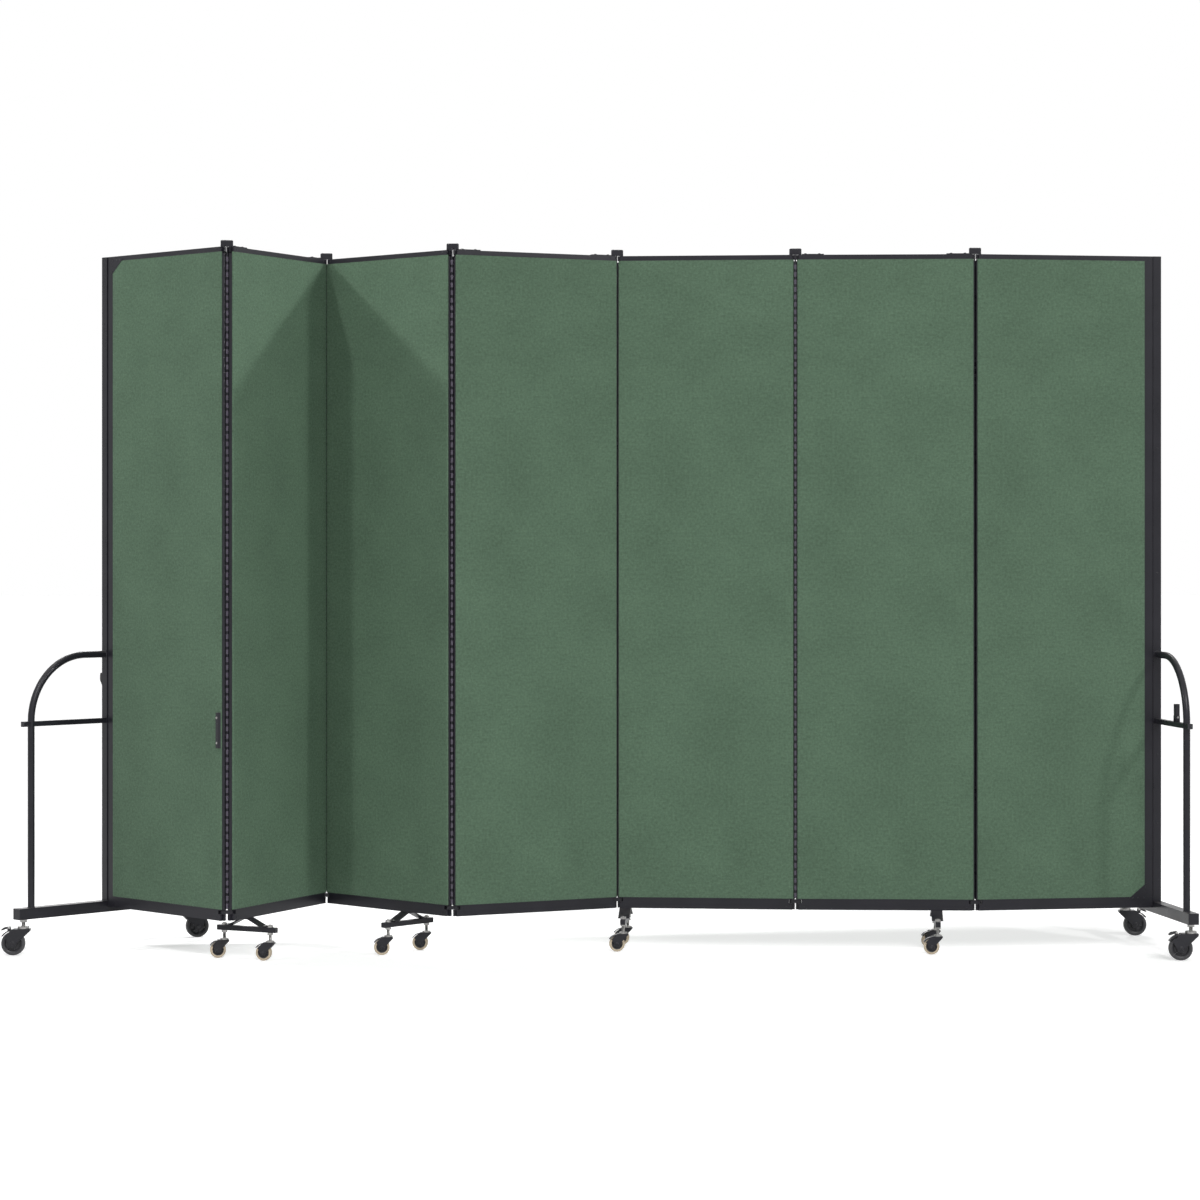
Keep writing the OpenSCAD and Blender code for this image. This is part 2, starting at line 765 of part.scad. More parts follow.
large_fork(1);  // left_back_fork
large_wheel(1);  // left_back_wheel
large_brake(1);  // left_back_brake
large_fork(2);  // right_front_fork
large_wheel(2);  // right_front_wheel
large_brake(2);  // right_front_brake
large_fork(3);  // right_back_fork
large_wheel(3);  // right_back_wheel
large_brake(3);  // right_back_brake
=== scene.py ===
"""Dresses the accordion folding partition: fabric, finishes, small fittings and the stage.

Everything is in metres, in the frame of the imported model: +X along the panels, -Y at the
front, +Z up, the floor at zero.
"""

import json
import math

import bpy
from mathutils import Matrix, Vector


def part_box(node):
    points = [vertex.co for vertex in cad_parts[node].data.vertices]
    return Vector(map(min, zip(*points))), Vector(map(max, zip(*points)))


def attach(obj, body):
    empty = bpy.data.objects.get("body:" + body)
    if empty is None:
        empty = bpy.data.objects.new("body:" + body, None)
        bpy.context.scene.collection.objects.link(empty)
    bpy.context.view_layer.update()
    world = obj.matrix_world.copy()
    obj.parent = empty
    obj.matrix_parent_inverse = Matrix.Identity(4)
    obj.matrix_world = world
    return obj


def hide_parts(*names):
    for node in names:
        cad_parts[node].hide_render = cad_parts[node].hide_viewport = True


bl_info = {
    "name": "Accordion partition finish",
    "version": (1, 0, 0),
    "blender": (4, 5, 0),
    "location": "3D View > Sidebar > Partition",
    "description": "Fabric, finishes and small fittings of an accordion folding partition",
    "category": "Object",
}

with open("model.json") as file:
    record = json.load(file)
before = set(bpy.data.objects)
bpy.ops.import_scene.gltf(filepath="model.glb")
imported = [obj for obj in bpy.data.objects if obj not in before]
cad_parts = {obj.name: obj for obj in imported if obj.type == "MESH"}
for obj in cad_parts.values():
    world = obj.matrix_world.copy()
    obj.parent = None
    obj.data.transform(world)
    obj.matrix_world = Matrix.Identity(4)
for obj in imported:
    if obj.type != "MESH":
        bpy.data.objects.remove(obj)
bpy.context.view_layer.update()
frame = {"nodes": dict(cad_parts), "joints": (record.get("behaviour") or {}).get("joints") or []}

MM = 0.001
PANELS = 7


# ---- places


class Place:
    """A flat frame on the floor: an origin, the direction of its x, and y to its left."""

    def __init__(self, origin, along):
        self.origin = Vector((origin[0], origin[1], 0.0))
        self.x = Vector((along[0], along[1], 0.0)).normalized()
        self.y = Vector((-self.x.y, self.x.x, 0.0))
        self.z = Vector((0.0, 0.0, 1.0))

    def point(self, x, y, z):
        return self.origin + self.x * x + self.y * y + self.z * z

    def away(self, x, y, turned=False):
        """A place at x, y of this one, turned half round if asked."""
        side = -self.x if turned else self.x
        return Place(self.point(x, y, 0.0), side)


def joint(name):
    for entry in frame["joints"]:
        if entry["name"] == name:
            return entry
    raise RuntimeError("the frame has no joint " + name)


def spot(name):
    """Where a joint stands."""
    return Vector(joint(name)["pos_m"])


def end_heading(end):
    """The direction of an end panel, square to the line of its two large casters."""
    front, back = spot(end + "_front_swivel"), spot(end + "_back_swivel")
    return Vector((back.y - front.y, front.x - back.x, 0.0)).normalized()


def pin(hinge, panel):
    return spot("fold_%s_near_%d" % (hinge, panel))


def panel_places():
    """The place of each panel, its x from its left pin, and the distance between its pins."""
    left = {n: pin("%d%d" % (n - 1, n), n) for n in range(2, PANELS + 1)}
    right = {n: pin("%d%d" % (n, n + 1), n) for n in range(1, PANELS)}
    span = (right[2] - left[2]).length
    first = end_heading("left")
    final = end_heading("right")
    places = {1: Place(right[1] - first * span, first)}
    for n in range(2, PANELS):
        places[n] = Place(left[n], right[n] - left[n])
    places[PANELS] = Place(left[PANELS], final)
    return places, span


PLACES, SPAN = panel_places()
BOARD_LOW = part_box("panel_4_boards")[0][2]
BOARD_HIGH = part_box("panel_4_boards")[1][2]
CAP_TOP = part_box("hinge_34")[1][2]
STRAP_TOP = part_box("panel_4_frame")[1][2]
RAIL_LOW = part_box("panel_4_frame")[0][2]
BAR_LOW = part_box("caster_bar_2")[0][2]
BAR_TALL = 16 * MM
BASE_LOW = 113 * MM
BASE_TALL = 35 * MM
PIN_GAP = (pin("12", 2) - pin("12", 1)).length
HALF_PANEL = 12 * MM
CAP_LOW = CAP_TOP - 20 * MM
UP = Vector((0.0, 0.0, 1.0))

# The column of barrels: how far it stands off the line of the pins, and a barrel's radius
COLUMN_OUT = 12 * MM
COLUMN_R = 4 * MM

# Each end frame: where its post begins past the last pin, and the post's width and depth
FREE_EDGE = PIN_GAP / 2 + 14 * MM
POST_W = 26 * MM
POST_D = 30 * MM
# Heights of the hoop's and the cross bar's joints, the hoop's tube, and how far each part reaches
HOOP_Z = 940 * MM
CROSS_Z = 727 * MM
HOOP_R = 11 * MM
HOOP_REACH = 300 * MM
CROSS_END = 332.6 * MM
BASE_END = 351 * MM

ENDS = {
    "left": (PLACES[1].away(-FREE_EDGE, 0.0, turned=True), "panel_1"),
    "right": (PLACES[PANELS].away(SPAN + FREE_EDGE, 0.0), "panel_7"),
}
SMALL = ["caster_%d_%s" % (n, side) for n in (2, 3, 5, 6) for side in ("front", "back")]
LARGE = ["%s_%s" % (end, side) for end in ("left", "right") for side in ("front", "back")]


def hinge_place(number):
    """The name of the hinge after a panel, and its place with x from the first pin to the second."""
    name = "%d%d" % (number, number + 1)
    first = pin(name, number)
    return name, Place(first, pin(name, number + 1) - first)


def caster_place(name):
    """A caster's place, its stem at the origin and its wheel along x, and the wheel's trail."""
    stem = spot(name + "_swivel")
    reach = spot(name + "_roll") - stem
    return Place(stem, reach), reach.xy.length


def caster_sizes(name):
    """Whether a caster is small, its wheel's diameter and width, and its stem's diameter."""
    if name.startswith("caster_"):
        return True, 50 * MM, 18 * MM, 9 * MM
    return False, 75 * MM, 26 * MM, 11 * MM


# ---- values the user may change


class FabricValues(bpy.types.PropertyGroup):
    colour: bpy.props.FloatVectorProperty(
        name="Colour", description="Colour of the fabric's yarn", subtype="COLOR",
        size=3, min=0.0, max=1.0, default=(0.094, 0.158, 0.1035))
    second: bpy.props.FloatVectorProperty(
        name="Second yarn", description="Colour of the crossing yarn", subtype="COLOR",
        size=3, min=0.0, max=1.0, default=(0.108, 0.168, 0.115))
    spacing: bpy.props.FloatProperty(
        name="Yarn spacing", description="Distance between neighbouring yarns",
        unit="LENGTH", min=0.0004, max=0.004, precision=5, default=0.0013)
    stand: bpy.props.FloatProperty(
        name="Stand", description="How far the fabric stands off its board",
        unit="LENGTH", min=0.0001, max=0.001, precision=5, default=0.00025)
    ease: bpy.props.FloatProperty(
        name="Ease", description="Height of the fabric's slight unevenness",
        unit="LENGTH", min=0.0, max=0.002, precision=5, default=0.0004)


class FrameValues(bpy.types.PropertyGroup):
    colour: bpy.props.FloatVectorProperty(
        name="Colour", description="Colour of the powder coat", subtype="COLOR",
        size=3, min=0.0, max=1.0, default=(0.0135, 0.0135, 0.0175))
    worn: bpy.props.FloatVectorProperty(
        name="Worn edge", description="Colour where an edge is rubbed", subtype="COLOR",
        size=3, min=0.0, max=1.0, default=(0.085, 0.082, 0.095))
    wear: bpy.props.FloatProperty(
        name="Edge wear", description="Share of an edge that is rubbed",
        subtype="FACTOR", min=0.0, max=1.0, default=0.35)
    knuckle_pitch: bpy.props.FloatProperty(
        name="Knuckle pitch", description="Distance between neighbouring hinge knuckles",
        unit="LENGTH", min=0.01, max=0.06, precision=4, default=0.0238)
    knuckle_share: bpy.props.FloatProperty(
        name="Knuckle share", description="Part of the pitch that a knuckle takes",
        subtype="FACTOR", min=0.2, max=0.95, default=0.62)


class CasterValues(bpy.types.PropertyGroup):
    tread: bpy.props.FloatVectorProperty(
        name="Small tread", description="Colour of a small wheel's tread", subtype="COLOR",
        size=3, min=0.0, max=1.0, default=(0.56, 0.47, 0.35))
    dark: bpy.props.FloatVectorProperty(
        name="Large tread", description="Colour of a large wheel's tread", subtype="COLOR",
        size=3, min=0.0, max=1.0, default=(0.045, 0.045, 0.05))
    ribs: bpy.props.IntProperty(
        name="Hub ribs", description="Number of ribs on a wheel's hub",
        min=3, max=12, default=6)


class StageValues(bpy.types.PropertyGroup):
    focal: bpy.props.FloatProperty(
        name="Focal length", description="Focal length of the camera on a 36 mm sensor",
        unit="CAMERA", min=20.0, max=300.0, default=100.67)
    place: bpy.props.FloatVectorProperty(
        name="Camera place", description="Where the camera stands", subtype="TRANSLATION",
        size=3, default=(-0.014, -10.741, 1.332))
    turn: bpy.props.FloatProperty(
        name="Camera turn", description="Turn of the camera about the upright",
        subtype="ANGLE", default=math.radians(-0.149))
    shift: bpy.props.FloatProperty(
        name="Shift", description="Upright shift of the picture", default=-0.0567)
    key: bpy.props.FloatProperty(
        name="Far lights", description="Strength of the soft lights before and behind the object",
        min=0.0, max=10.0, default=1.3)
    sides: bpy.props.FloatProperty(
        name="Side lamps", description="Strength of the lamps to the left and right of the camera",
        min=0.0, max=10.0, default=0.66)
    ceiling: bpy.props.FloatProperty(
        name="Ceiling lamps", description="Strength of the lamps above the folded panels",
        min=0.0, max=10.0, default=1.6)
    softness: bpy.props.FloatProperty(
        name="Softness", description="Width of the front light as the object sees it",
        subtype="ANGLE", min=0.0, max=math.pi / 2, default=math.radians(22.0))
    fill: bpy.props.FloatProperty(
        name="Fill light", description="Strength of the light from all round",
        min=0.0, max=2.0, default=0.15)


def values(name):
    return getattr(bpy.context.scene, name)


# ---- shader node groups


class Nodes:
    """Short hand for building one node tree."""

    def __init__(self, tree):
        self.tree = tree

    def add(self, kind, **settings):
        node = self.tree.nodes.new(kind)
        for key, value in settings.items():
            setattr(node, key, value)
        return node

    def link(self, source, target):
        self.tree.links.new(source, target)

    def put(self, value, socket):
        """A socket takes either a link or a plain value."""
        if isinstance(value, bpy.types.NodeSocket):
            self.link(value, socket)
        elif isinstance(value, (tuple, list)) and len(value) == 3 and socket.type == "RGBA":
            socket.default_value = (*value, 1.0)
        else:
            socket.default_value = value

    def node(self, kind, inputs, output=0, **settings):
        """One output of a new node, whose inputs are given by name or number."""
        node = self.add(kind, **settings)
        for key, value in inputs.items():
            self.put(value, node.inputs[key])
        return node.outputs[output]

    def math(self, operation, a, b=0.0, clamp=False):
        return self.node("ShaderNodeMath", {0: a, 1: b}, operation=operation, use_clamp=clamp)

    def times(self, a, b, clamp=False):
        return self.math("MULTIPLY", a, b, clamp)

    def plus(self, a, b, clamp=False):
        return self.math("ADD", a, b, clamp)

    def minus(self, a, b):
        return self.math("SUBTRACT", a, b)

    def around(self, value, share):
        """A noise value as a swing about zero, times a share."""
        return self.times(self.minus(value, 0.5), share)

    def mix(self, share, a, b):
        return self.node("ShaderNodeMix", {"Factor": share, 6: a, 7: b}, 2, data_type="RGBA")

    def mix_value(self, share, a, b):
        return self.node("ShaderNodeMix", {"Factor": share, 2: a, 3: b}, data_type="FLOAT")

    def noise(self, vector, scale, detail=3.0, rough=0.5):
        return self.node("ShaderNodeTexNoise", {"Vector": vector, "Scale": scale, "Detail": detail,
                                                "Roughness": rough}, "Fac")

    def span(self, value, low, high, to_low=0.0, to_high=1.0):
        return self.node("ShaderNodeMapRange", {"Value": value, "From Min": low, "From Max": high,
                                                "To Min": to_low, "To Max": to_high}, "Result", clamp=True)

    def split(self, vector):
        node = self.add("ShaderNodeSeparateXYZ")
        self.put(vector, node.inputs[0])
        return node.outputs

    def object_place(self):
        return self.add("ShaderNodeTexCoord").outputs["Object"]

    def join(self, x, y, z=0.0):
        return self.node("ShaderNodeCombineXYZ", {0: x, 1: y, 2: z})


def clear_nodes(owner):
    """The emptied node tree of a new material or world."""
    owner.use_nodes = True
    owner.node_tree.nodes.clear()
    return Nodes(owner.node_tree)


def seen_rays(n):
    """One for rays that the camera sees straight, mirrored or through something, else zero."""
    rays = n.add("ShaderNodeLightPath").outputs
    seen = n.plus(rays["Is Camera Ray"], rays["Is Glossy Ray"])
    return n.plus(seen, rays["Is Transmission Ray"], clamp=True)


def new_group(name, inputs, outputs):
    """A named group with its sockets; inputs are (name, kind, default)."""
    tree = bpy.data.node_groups.new(name, "ShaderNodeTree")
    kinds = {"value": "NodeSocketFloat", "colour": "NodeSocketColor", "vector": "NodeSocketVector"}
    for label, kind, default in inputs:
        socket = tree.interface.new_socket(label, in_out="INPUT", socket_type=kinds[kind])
        if default is not None:
            socket.default_value = (*default, 1.0) if kind == "colour" else default
    for label, kind in outputs:
        tree.interface.new_socket(label, in_out="OUTPUT", socket_type=kinds[kind])
    nodes = Nodes(tree)
    return nodes, nodes.add("NodeGroupInput").outputs, nodes.add("NodeGroupOutput").inputs


def build_weave():
    """Plain weave of uneven yarns, darkened by painted shade in the hollows between them, laid out on a
    piece's own cloth coordinates in metres.
    """
    n, given, out = new_group(
        "Panel weave",
        [("Cloth", "vector", None), ("Spacing", "value", 0.0013), ("Warp", "colour", (0.1, 0.2, 0.1)),
         ("Weft", "colour", (0.1, 0.2, 0.1)), ("Heather", "value", 0.3), ("Mottle", "value", 0.2)],
        [("Colour", "colour"), ("Height", "value"), ("Top", "value")])
    part = n.split(given["Cloth"])
    across = n.math("DIVIDE", part[0], given["Spacing"])
    up = n.math("DIVIDE", part[1], given["Spacing"])
    round_x = n.math("ABSOLUTE", n.math("SINE", n.times(across, math.pi)))
    round_y = n.math("ABSOLUTE", n.math("SINE", n.times(up, math.pi)))
    cell_x = n.math("FLOOR", across)
    cell_y = n.math("FLOOR", up)
    parity = n.math("FRACT", n.times(n.plus(cell_x, cell_y), 0.5))
    top = n.math("GREATER_THAN", parity, 0.25)
    height = n.mix_value(top, round_x, round_y)
    yarn_x = n.noise(n.join(cell_x, n.times(cell_y, 0.06)), 0.9, 2.0)
    yarn_y = n.noise(n.join(n.times(cell_x, 0.06), cell_y, 7.0), 0.9, 2.0)
    yarn = n.mix_value(top, yarn_x, yarn_y)
    mottle = n.noise(given["Cloth"], 130.0, 4.0, 0.6)
    cloud = n.noise(given["Cloth"], 5.0, 2.0, 0.5)
    tone_and_painted_shade = n.plus(1.0, n.around(yarn, given["Heather"]))
    speck = n.around(mottle, given["Mottle"])
    wide = n.around(cloud, n.times(given["Mottle"], 0.35))
    tone_and_painted_shade = n.plus(n.plus(tone_and_painted_shade, speck), wide)
    # Painted shade: the colour is darkened where the yarns dip, in the hollows between them
    painted_hollow_shade = n.span(height, 0.0, 0.45, 0.72, 1.0)
    tone_and_painted_shade = n.times(tone_and_painted_shade, painted_hollow_shade)
    base = n.mix(top, given["Warp"], given["Weft"])
    n.link(n.node("ShaderNodeVectorMath", {0: base, "Scale": tone_and_painted_shade}, operation="SCALE"), out["Colour"])
    n.link(n.plus(height, n.times(mottle, 0.25)), out["Height"])
    n.link(top, out["Top"])
    return n.tree


def build_coat():
    """Powder coat: a fine pebbled skin with slow changes of gloss."""
    n, given, out = new_group(
        "Powder coat",
        [("Colour", "colour", (0.02, 0.02, 0.02)), ("Pebble", "value", 900.0), ("Gloss spread", "value", 0.1),
         ("Roughness", "value", 0.4)],
        [("Colour", "colour"), ("Roughness", "value"), ("Height", "value")])
    place = n.object_place()
    pebble = n.noise(place, given["Pebble"], 2.0, 0.4)
    slow = n.noise(place, 9.0, 4.0, 0.55)
    lift = n.mix(n.span(slow, 0.3, 0.75, 0.0, 0.25), given["Colour"], (0.032, 0.03, 0.04))
    n.link(lift, out["Colour"])
    drift = n.around(slow, given["Gloss spread"])
    grain = n.around(pebble, 0.12)
    n.link(n.plus(n.plus(given["Roughness"], drift), grain, clamp=True), out["Roughness"])
    n.link(pebble, out["Height"])
    return n.tree


def build_wear():
    """Mask of rubbed edges: where a rounded normal leaves the flat one, broken up by noise."""
    n, given, out = new_group(
        "Edge wear",
        [("Width", "value", 0.0015), ("Amount", "value", 0.4), ("Break up", "value", 60.0)],
        [("Mask", "value")])
    bevel = n.node("ShaderNodeBevel", {"Radius": given["Width"]}, samples=4)
    flat = n.add("ShaderNodeNewGeometry").outputs["Normal"]
    dot = n.node("ShaderNodeVectorMath", {0: bevel, 1: flat}, "Value", operation="DOT_PRODUCT")
    edge = n.span(dot, 0.995, 0.86)
    place = n.object_place()
    broken = n.span(n.noise(place, given["Break up"], 5.0, 0.65), 0.42, 0.62)
    n.link(n.times(n.times(edge, broken), given["Amount"], clamp=True), out["Mask"])
    return n.tree


def build_dust():
    """Mask of dust on what faces up, thicker in patches."""
    n, given, out = new_group(
        "Resting dust",
        [("Amount", "value", 0.2), ("Patch", "value", 25.0)],
        [("Mask", "value")])
    normal = n.split(n.add("ShaderNodeNewGeometry").outputs["Normal"])
    facing = n.span(normal[2], 0.35, 0.95)
    place = n.object_place()
    patch = n.span(n.noise(place, given["Patch"], 5.0, 0.6), 0.35, 0.7)
    n.link(n.times(n.times(facing, patch), given["Amount"], clamp=True), out["Mask"])
    return n.tree


def build_scuff():
    """Fine scratches and a slow stain, for treads, hubs and plated metal."""
    n, given, out = new_group(
        "Scuffs",
        [("Scale", "value", 300.0), ("Stretch", "value", 8.0), ("Amount", "value", 0.5)],
        [("Mask", "value"), ("Height", "value")])
    place = n.object_place()
    part = n.split(place)
    drawn = n.join(part[0], part[1], n.times(part[2], given["Stretch"]))
    fine = n.noise(drawn, given["Scale"], 3.0, 0.6)
    stain = n.noise(place, 35.0, 4.0, 0.6)
    mask = n.times(n.span(fine, 0.45, 0.7), n.span(stain, 0.35, 0.65))
    n.link(n.times(mask, given["Amount"], clamp=True), out["Mask"])
    n.link(fine, out["Height"])
    return n.tree


GROUPS = {}


def group(n, name, **settings):
    """An instance of a shared effect with its own values; a key names a socket."""
    if name not in GROUPS:
        maker = {"weave": build_weave, "coat": build_coat, "wear": build_wear,
                 "dust": build_dust, "scuff": build_scuff}[name]
        GROUPS[name] = maker()
    node = n.add("ShaderNodeGroup", node_tree=GROUPS[name])
    for key, value in settings.items():
        n.put(value, node.inputs[key.replace("_", " ")])
    return node.outputs


# ---- materials


def start_material(name, **constants):
    """A new material with its Principled shader; constants are set on the shader's own sockets."""
    material = bpy.data.materials.new(name)
    n = clear_nodes(material)
    shader = n.add("ShaderNodeBsdfPrincipled")
    output = n.add("ShaderNodeOutputMaterial")
    n.link(shader.outputs[0], output.inputs[0])
    for key, value in constants.items():
        shader.inputs[key.replace("_", " ")].default_value = value
    return material, n, shader


def surface(n, shader, base, rough, height, strength, distance):
    """Gives a shader its colour, its roughness and a bump of the given strength and depth."""
    n.link(base, shader.inputs["Base Color"])
    n.link(rough, shader.inputs["Roughness"])
    bump = n.node("ShaderNodeBump", {"Strength": strength, "Distance": distance, "Height": height})
    n.link(bump, shader.inputs["Normal"])


def fabric_finish(name, warp, weft, spacing):
    material, n, shader = start_material(
        name, Sheen_Weight=0.04, Sheen_Roughness=0.45, Specular_IOR_Level=0.12)
    shader.inputs["Sheen Tint"].default_value = (0.62, 0.85, 0.68, 1.0)
    cloth = n.add("ShaderNodeUVMap", uv_map="cloth").outputs[0]
    weave = group(n, "weave", Cloth=cloth, Spacing=spacing, Warp=warp, Weft=weft, Heather=0.7, Mottle=1.0)
    rough = n.span(weave["Height"], 0.0, 1.2, 0.95, 0.8)
    surface(n, shader, weave["Colour"], rough, weave["Height"], 0.5, spacing * 0.25)
    return material


def coat_finish(name, colour, worn, wear, roughness=0.36, dust=0.25, pebble=900.0):
    """Powder-coated steel with rubbed edges and a little dust on top."""
    material, n, shader = start_material(name, Specular_IOR_Level=0.22)
    coat = group(n, "coat", Colour=colour, Pebble=pebble, Gloss_spread=0.18, Roughness=roughness)
    rubbed = group(n, "wear", Width=0.0012, Amount=wear, Break_up=70.0)
    dusty = group(n, "dust", Amount=dust, Patch=30.0)
    base = n.mix(rubbed["Mask"], coat["Colour"], worn)
    base = n.mix(dusty["Mask"], base, (0.16, 0.15, 0.14))
    rough = n.mix_value(dusty["Mask"], n.mix_value(rubbed["Mask"], coat["Roughness"], 0.3), 0.85)
    surface(n, shader, base, rough, coat["Height"], 0.22, 0.0001)
    return material


def zinc_finish(name):
    """Plated steel of screws, nuts and stems."""
    material, n, shader = start_material(name, Specular_IOR_Level=0.5)
    scuff = group(n, "scuff", Scale=700.0, Stretch=0.2, Amount=0.8)
    dusty = group(n, "dust", Amount=0.3, Patch=60.0)
    base = n.mix(scuff["Mask"], (0.34, 0.335, 0.33), (0.2, 0.19, 0.175))
    base = n.mix(dusty["Mask"], base, (0.2, 0.18, 0.16))
    n.link(n.minus(0.95, n.times(dusty["Mask"], 0.9)), shader.inputs["Metallic"])
    surface(n, shader, base, n.mix_value(scuff["Mask"], 0.32, 0.55), scuff["Height"], 0.1, 0.00005)
    return material


def fork_finish(name, colour, worn, stem_z):
    """Dark coated fork whose bearing, stem and nuts, above stem_z, are plated."""
    material, n, shader = start_material(name, Specular_IOR_Level=0.25)
    coat = group(n, "coat", Colour=colour, Pebble=1100.0, Gloss_spread=0.15, Roughness=0.33)
    rubbed = group(n, "wear", Width=0.0008, Amount=0.7, Break_up=120.0)
    scuff = group(n, "scuff", Scale=700.0, Stretch=0.2, Amount=0.8)
    height = n.split(n.object_place())[2]
    plated = n.math("GREATER_THAN", height, stem_z)
    dark = n.mix(rubbed["Mask"], coat["Colour"], worn)
    bright = n.mix(scuff["Mask"], (0.33, 0.325, 0.32), (0.17, 0.16, 0.15))
    n.link(n.times(plated, 0.9), shader.inputs["Metallic"])
    rough = n.mix_value(plated, coat["Roughness"], 0.32)
    surface(n, shader, n.mix(plated, dark, bright), rough, coat["Height"], 0.15, 0.00008)
    return material


def tread_finish(name, colour, stain, rough):
    """Moulded tread, scuffed and soiled with floor dirt."""
    material, n, shader = start_material(name, Specular_IOR_Level=0.35)
    scuff = group(n, "scuff", Scale=420.0, Stretch=1.0, Amount=0.9)
    dusty = group(n, "dust", Amount=0.35, Patch=90.0)
    base = n.mix(scuff["Mask"], colour, stain)
    base = n.mix(dusty["Mask"], base, (0.2, 0.18, 0.15))
    surface(n, shader, base, n.mix_value(scuff["Mask"], rough, rough + 0.25), scuff["Height"], 0.3, 0.00015)
    return material


def moulding_finish(name, colour, rough=0.5):
    """Moulded plastic with a fine spark-eroded grain."""
    material, n, shader = start_material(name, Specular_IOR_Level=0.3)
    coat = group(n, "coat", Colour=colour, Pebble=1500.0, Gloss_spread=0.1, Roughness=rough)
    rubbed = group(n, "wear", Width=0.0008, Amount=0.35, Break_up=150.0)
    dusty = group(n, "dust", Amount=0.2, Patch=50.0)
    base = n.mix(rubbed["Mask"], coat["Colour"], (0.09, 0.088, 0.09))
    base = n.mix(dusty["Mask"], base, (0.17, 0.16, 0.15))
    surface(n, shader, base, coat["Roughness"], coat["Height"], 0.35, 0.00012)
    return material


MATERIALS = {}

# Coated and moulded blacks, a rubbed edge on small parts, and where a fork's plating begins above its middle
BLACK = (0.016, 0.016, 0.02)
SOFT_BLACK = (0.02, 0.02, 0.024)
RUBBER_BLACK = (0.02, 0.02, 0.022)
RUBBED_FORK = (0.2, 0.195, 0.19)
SMALL_PLATING = 57.05 * MM
LARGE_PLATING = 84.02 * MM


def finishes():
    """All finishes of the object, made once."""
    if MATERIALS:
        return MATERIALS
    fabric, coat, caster = values("partition_fabric"), values("partition_frame"), values("partition_caster")
    colour, worn = tuple(coat.colour), tuple(coat.worn)
    MATERIALS.update({
        "fabric": fabric_finish("Green panel fabric", tuple(fabric.colour), tuple(fabric.second),
                                fabric.spacing),
        "board": moulding_finish("Board edge", (0.03, 0.045, 0.034), 0.8),
        "frame": coat_finish("Black frame coat", colour, worn, coat.wear),
        "end_frame": coat_finish("Black tube coat", colour, worn, coat.wear * 1.3, 0.3, 0.3),
        "hinge": coat_finish("Black hinge link", BLACK, worn, 0.6, 0.3, 0.35),
        # Painted highlight: the knuckles' light purple-grey colour and their pale rubbed edges stand for the
        # glints on the shiny barrels
        "knuckle": coat_finish("Hinge knuckle painted highlight", (0.09, 0.08, 0.105), (0.3, 0.28, 0.33), 0.6, 0.28, 0.0,
                               1500.0),
        "weld": coat_finish("Coated weld", SOFT_BLACK, (0.09, 0.085, 0.09), 0.6, 0.42, 0.2, 1500.0),
        "zinc": zinc_finish("Plated screw"),
        "black_screw": coat_finish("Black screw", SOFT_BLACK, (0.16, 0.155, 0.16), 0.8, 0.3, 0.3),
        "small_fork": fork_finish("Small caster fork", BLACK, RUBBED_FORK, SMALL_PLATING),
        "large_fork": fork_finish("Large caster fork", (0.018, 0.018, 0.022), RUBBED_FORK, LARGE_PLATING),
        "tread": tread_finish("Cream tread", tuple(caster.tread), (0.32, 0.26, 0.19), 0.42),
        "dark_tread": tread_finish("Dark tread", tuple(caster.dark), (0.1, 0.095, 0.09), 0.5),
        "hub": moulding_finish("Dark hub", (0.03, 0.03, 0.034), 0.4),
        "moulding": moulding_finish("Black moulding", BLACK, 0.48),
        "pedal": moulding_finish("Brake pedal", RUBBER_BLACK, 0.42),
        "bumper": tread_finish("Rubber bumper", RUBBER_BLACK, (0.07, 0.066, 0.062), 0.6),
    })
    return MATERIALS


# ---- mesh building


def grid(rows, columns, flip):
    """Faces between neighbouring points of a grid laid out row by row."""
    faces = []
    for row in range(rows - 1):
        for column in range(columns - 1):
            a = row * columns + column
            face = (a, a + 1, a + columns + 1, a + columns)
            faces.append(face[::-1] if flip else face)
    return faces


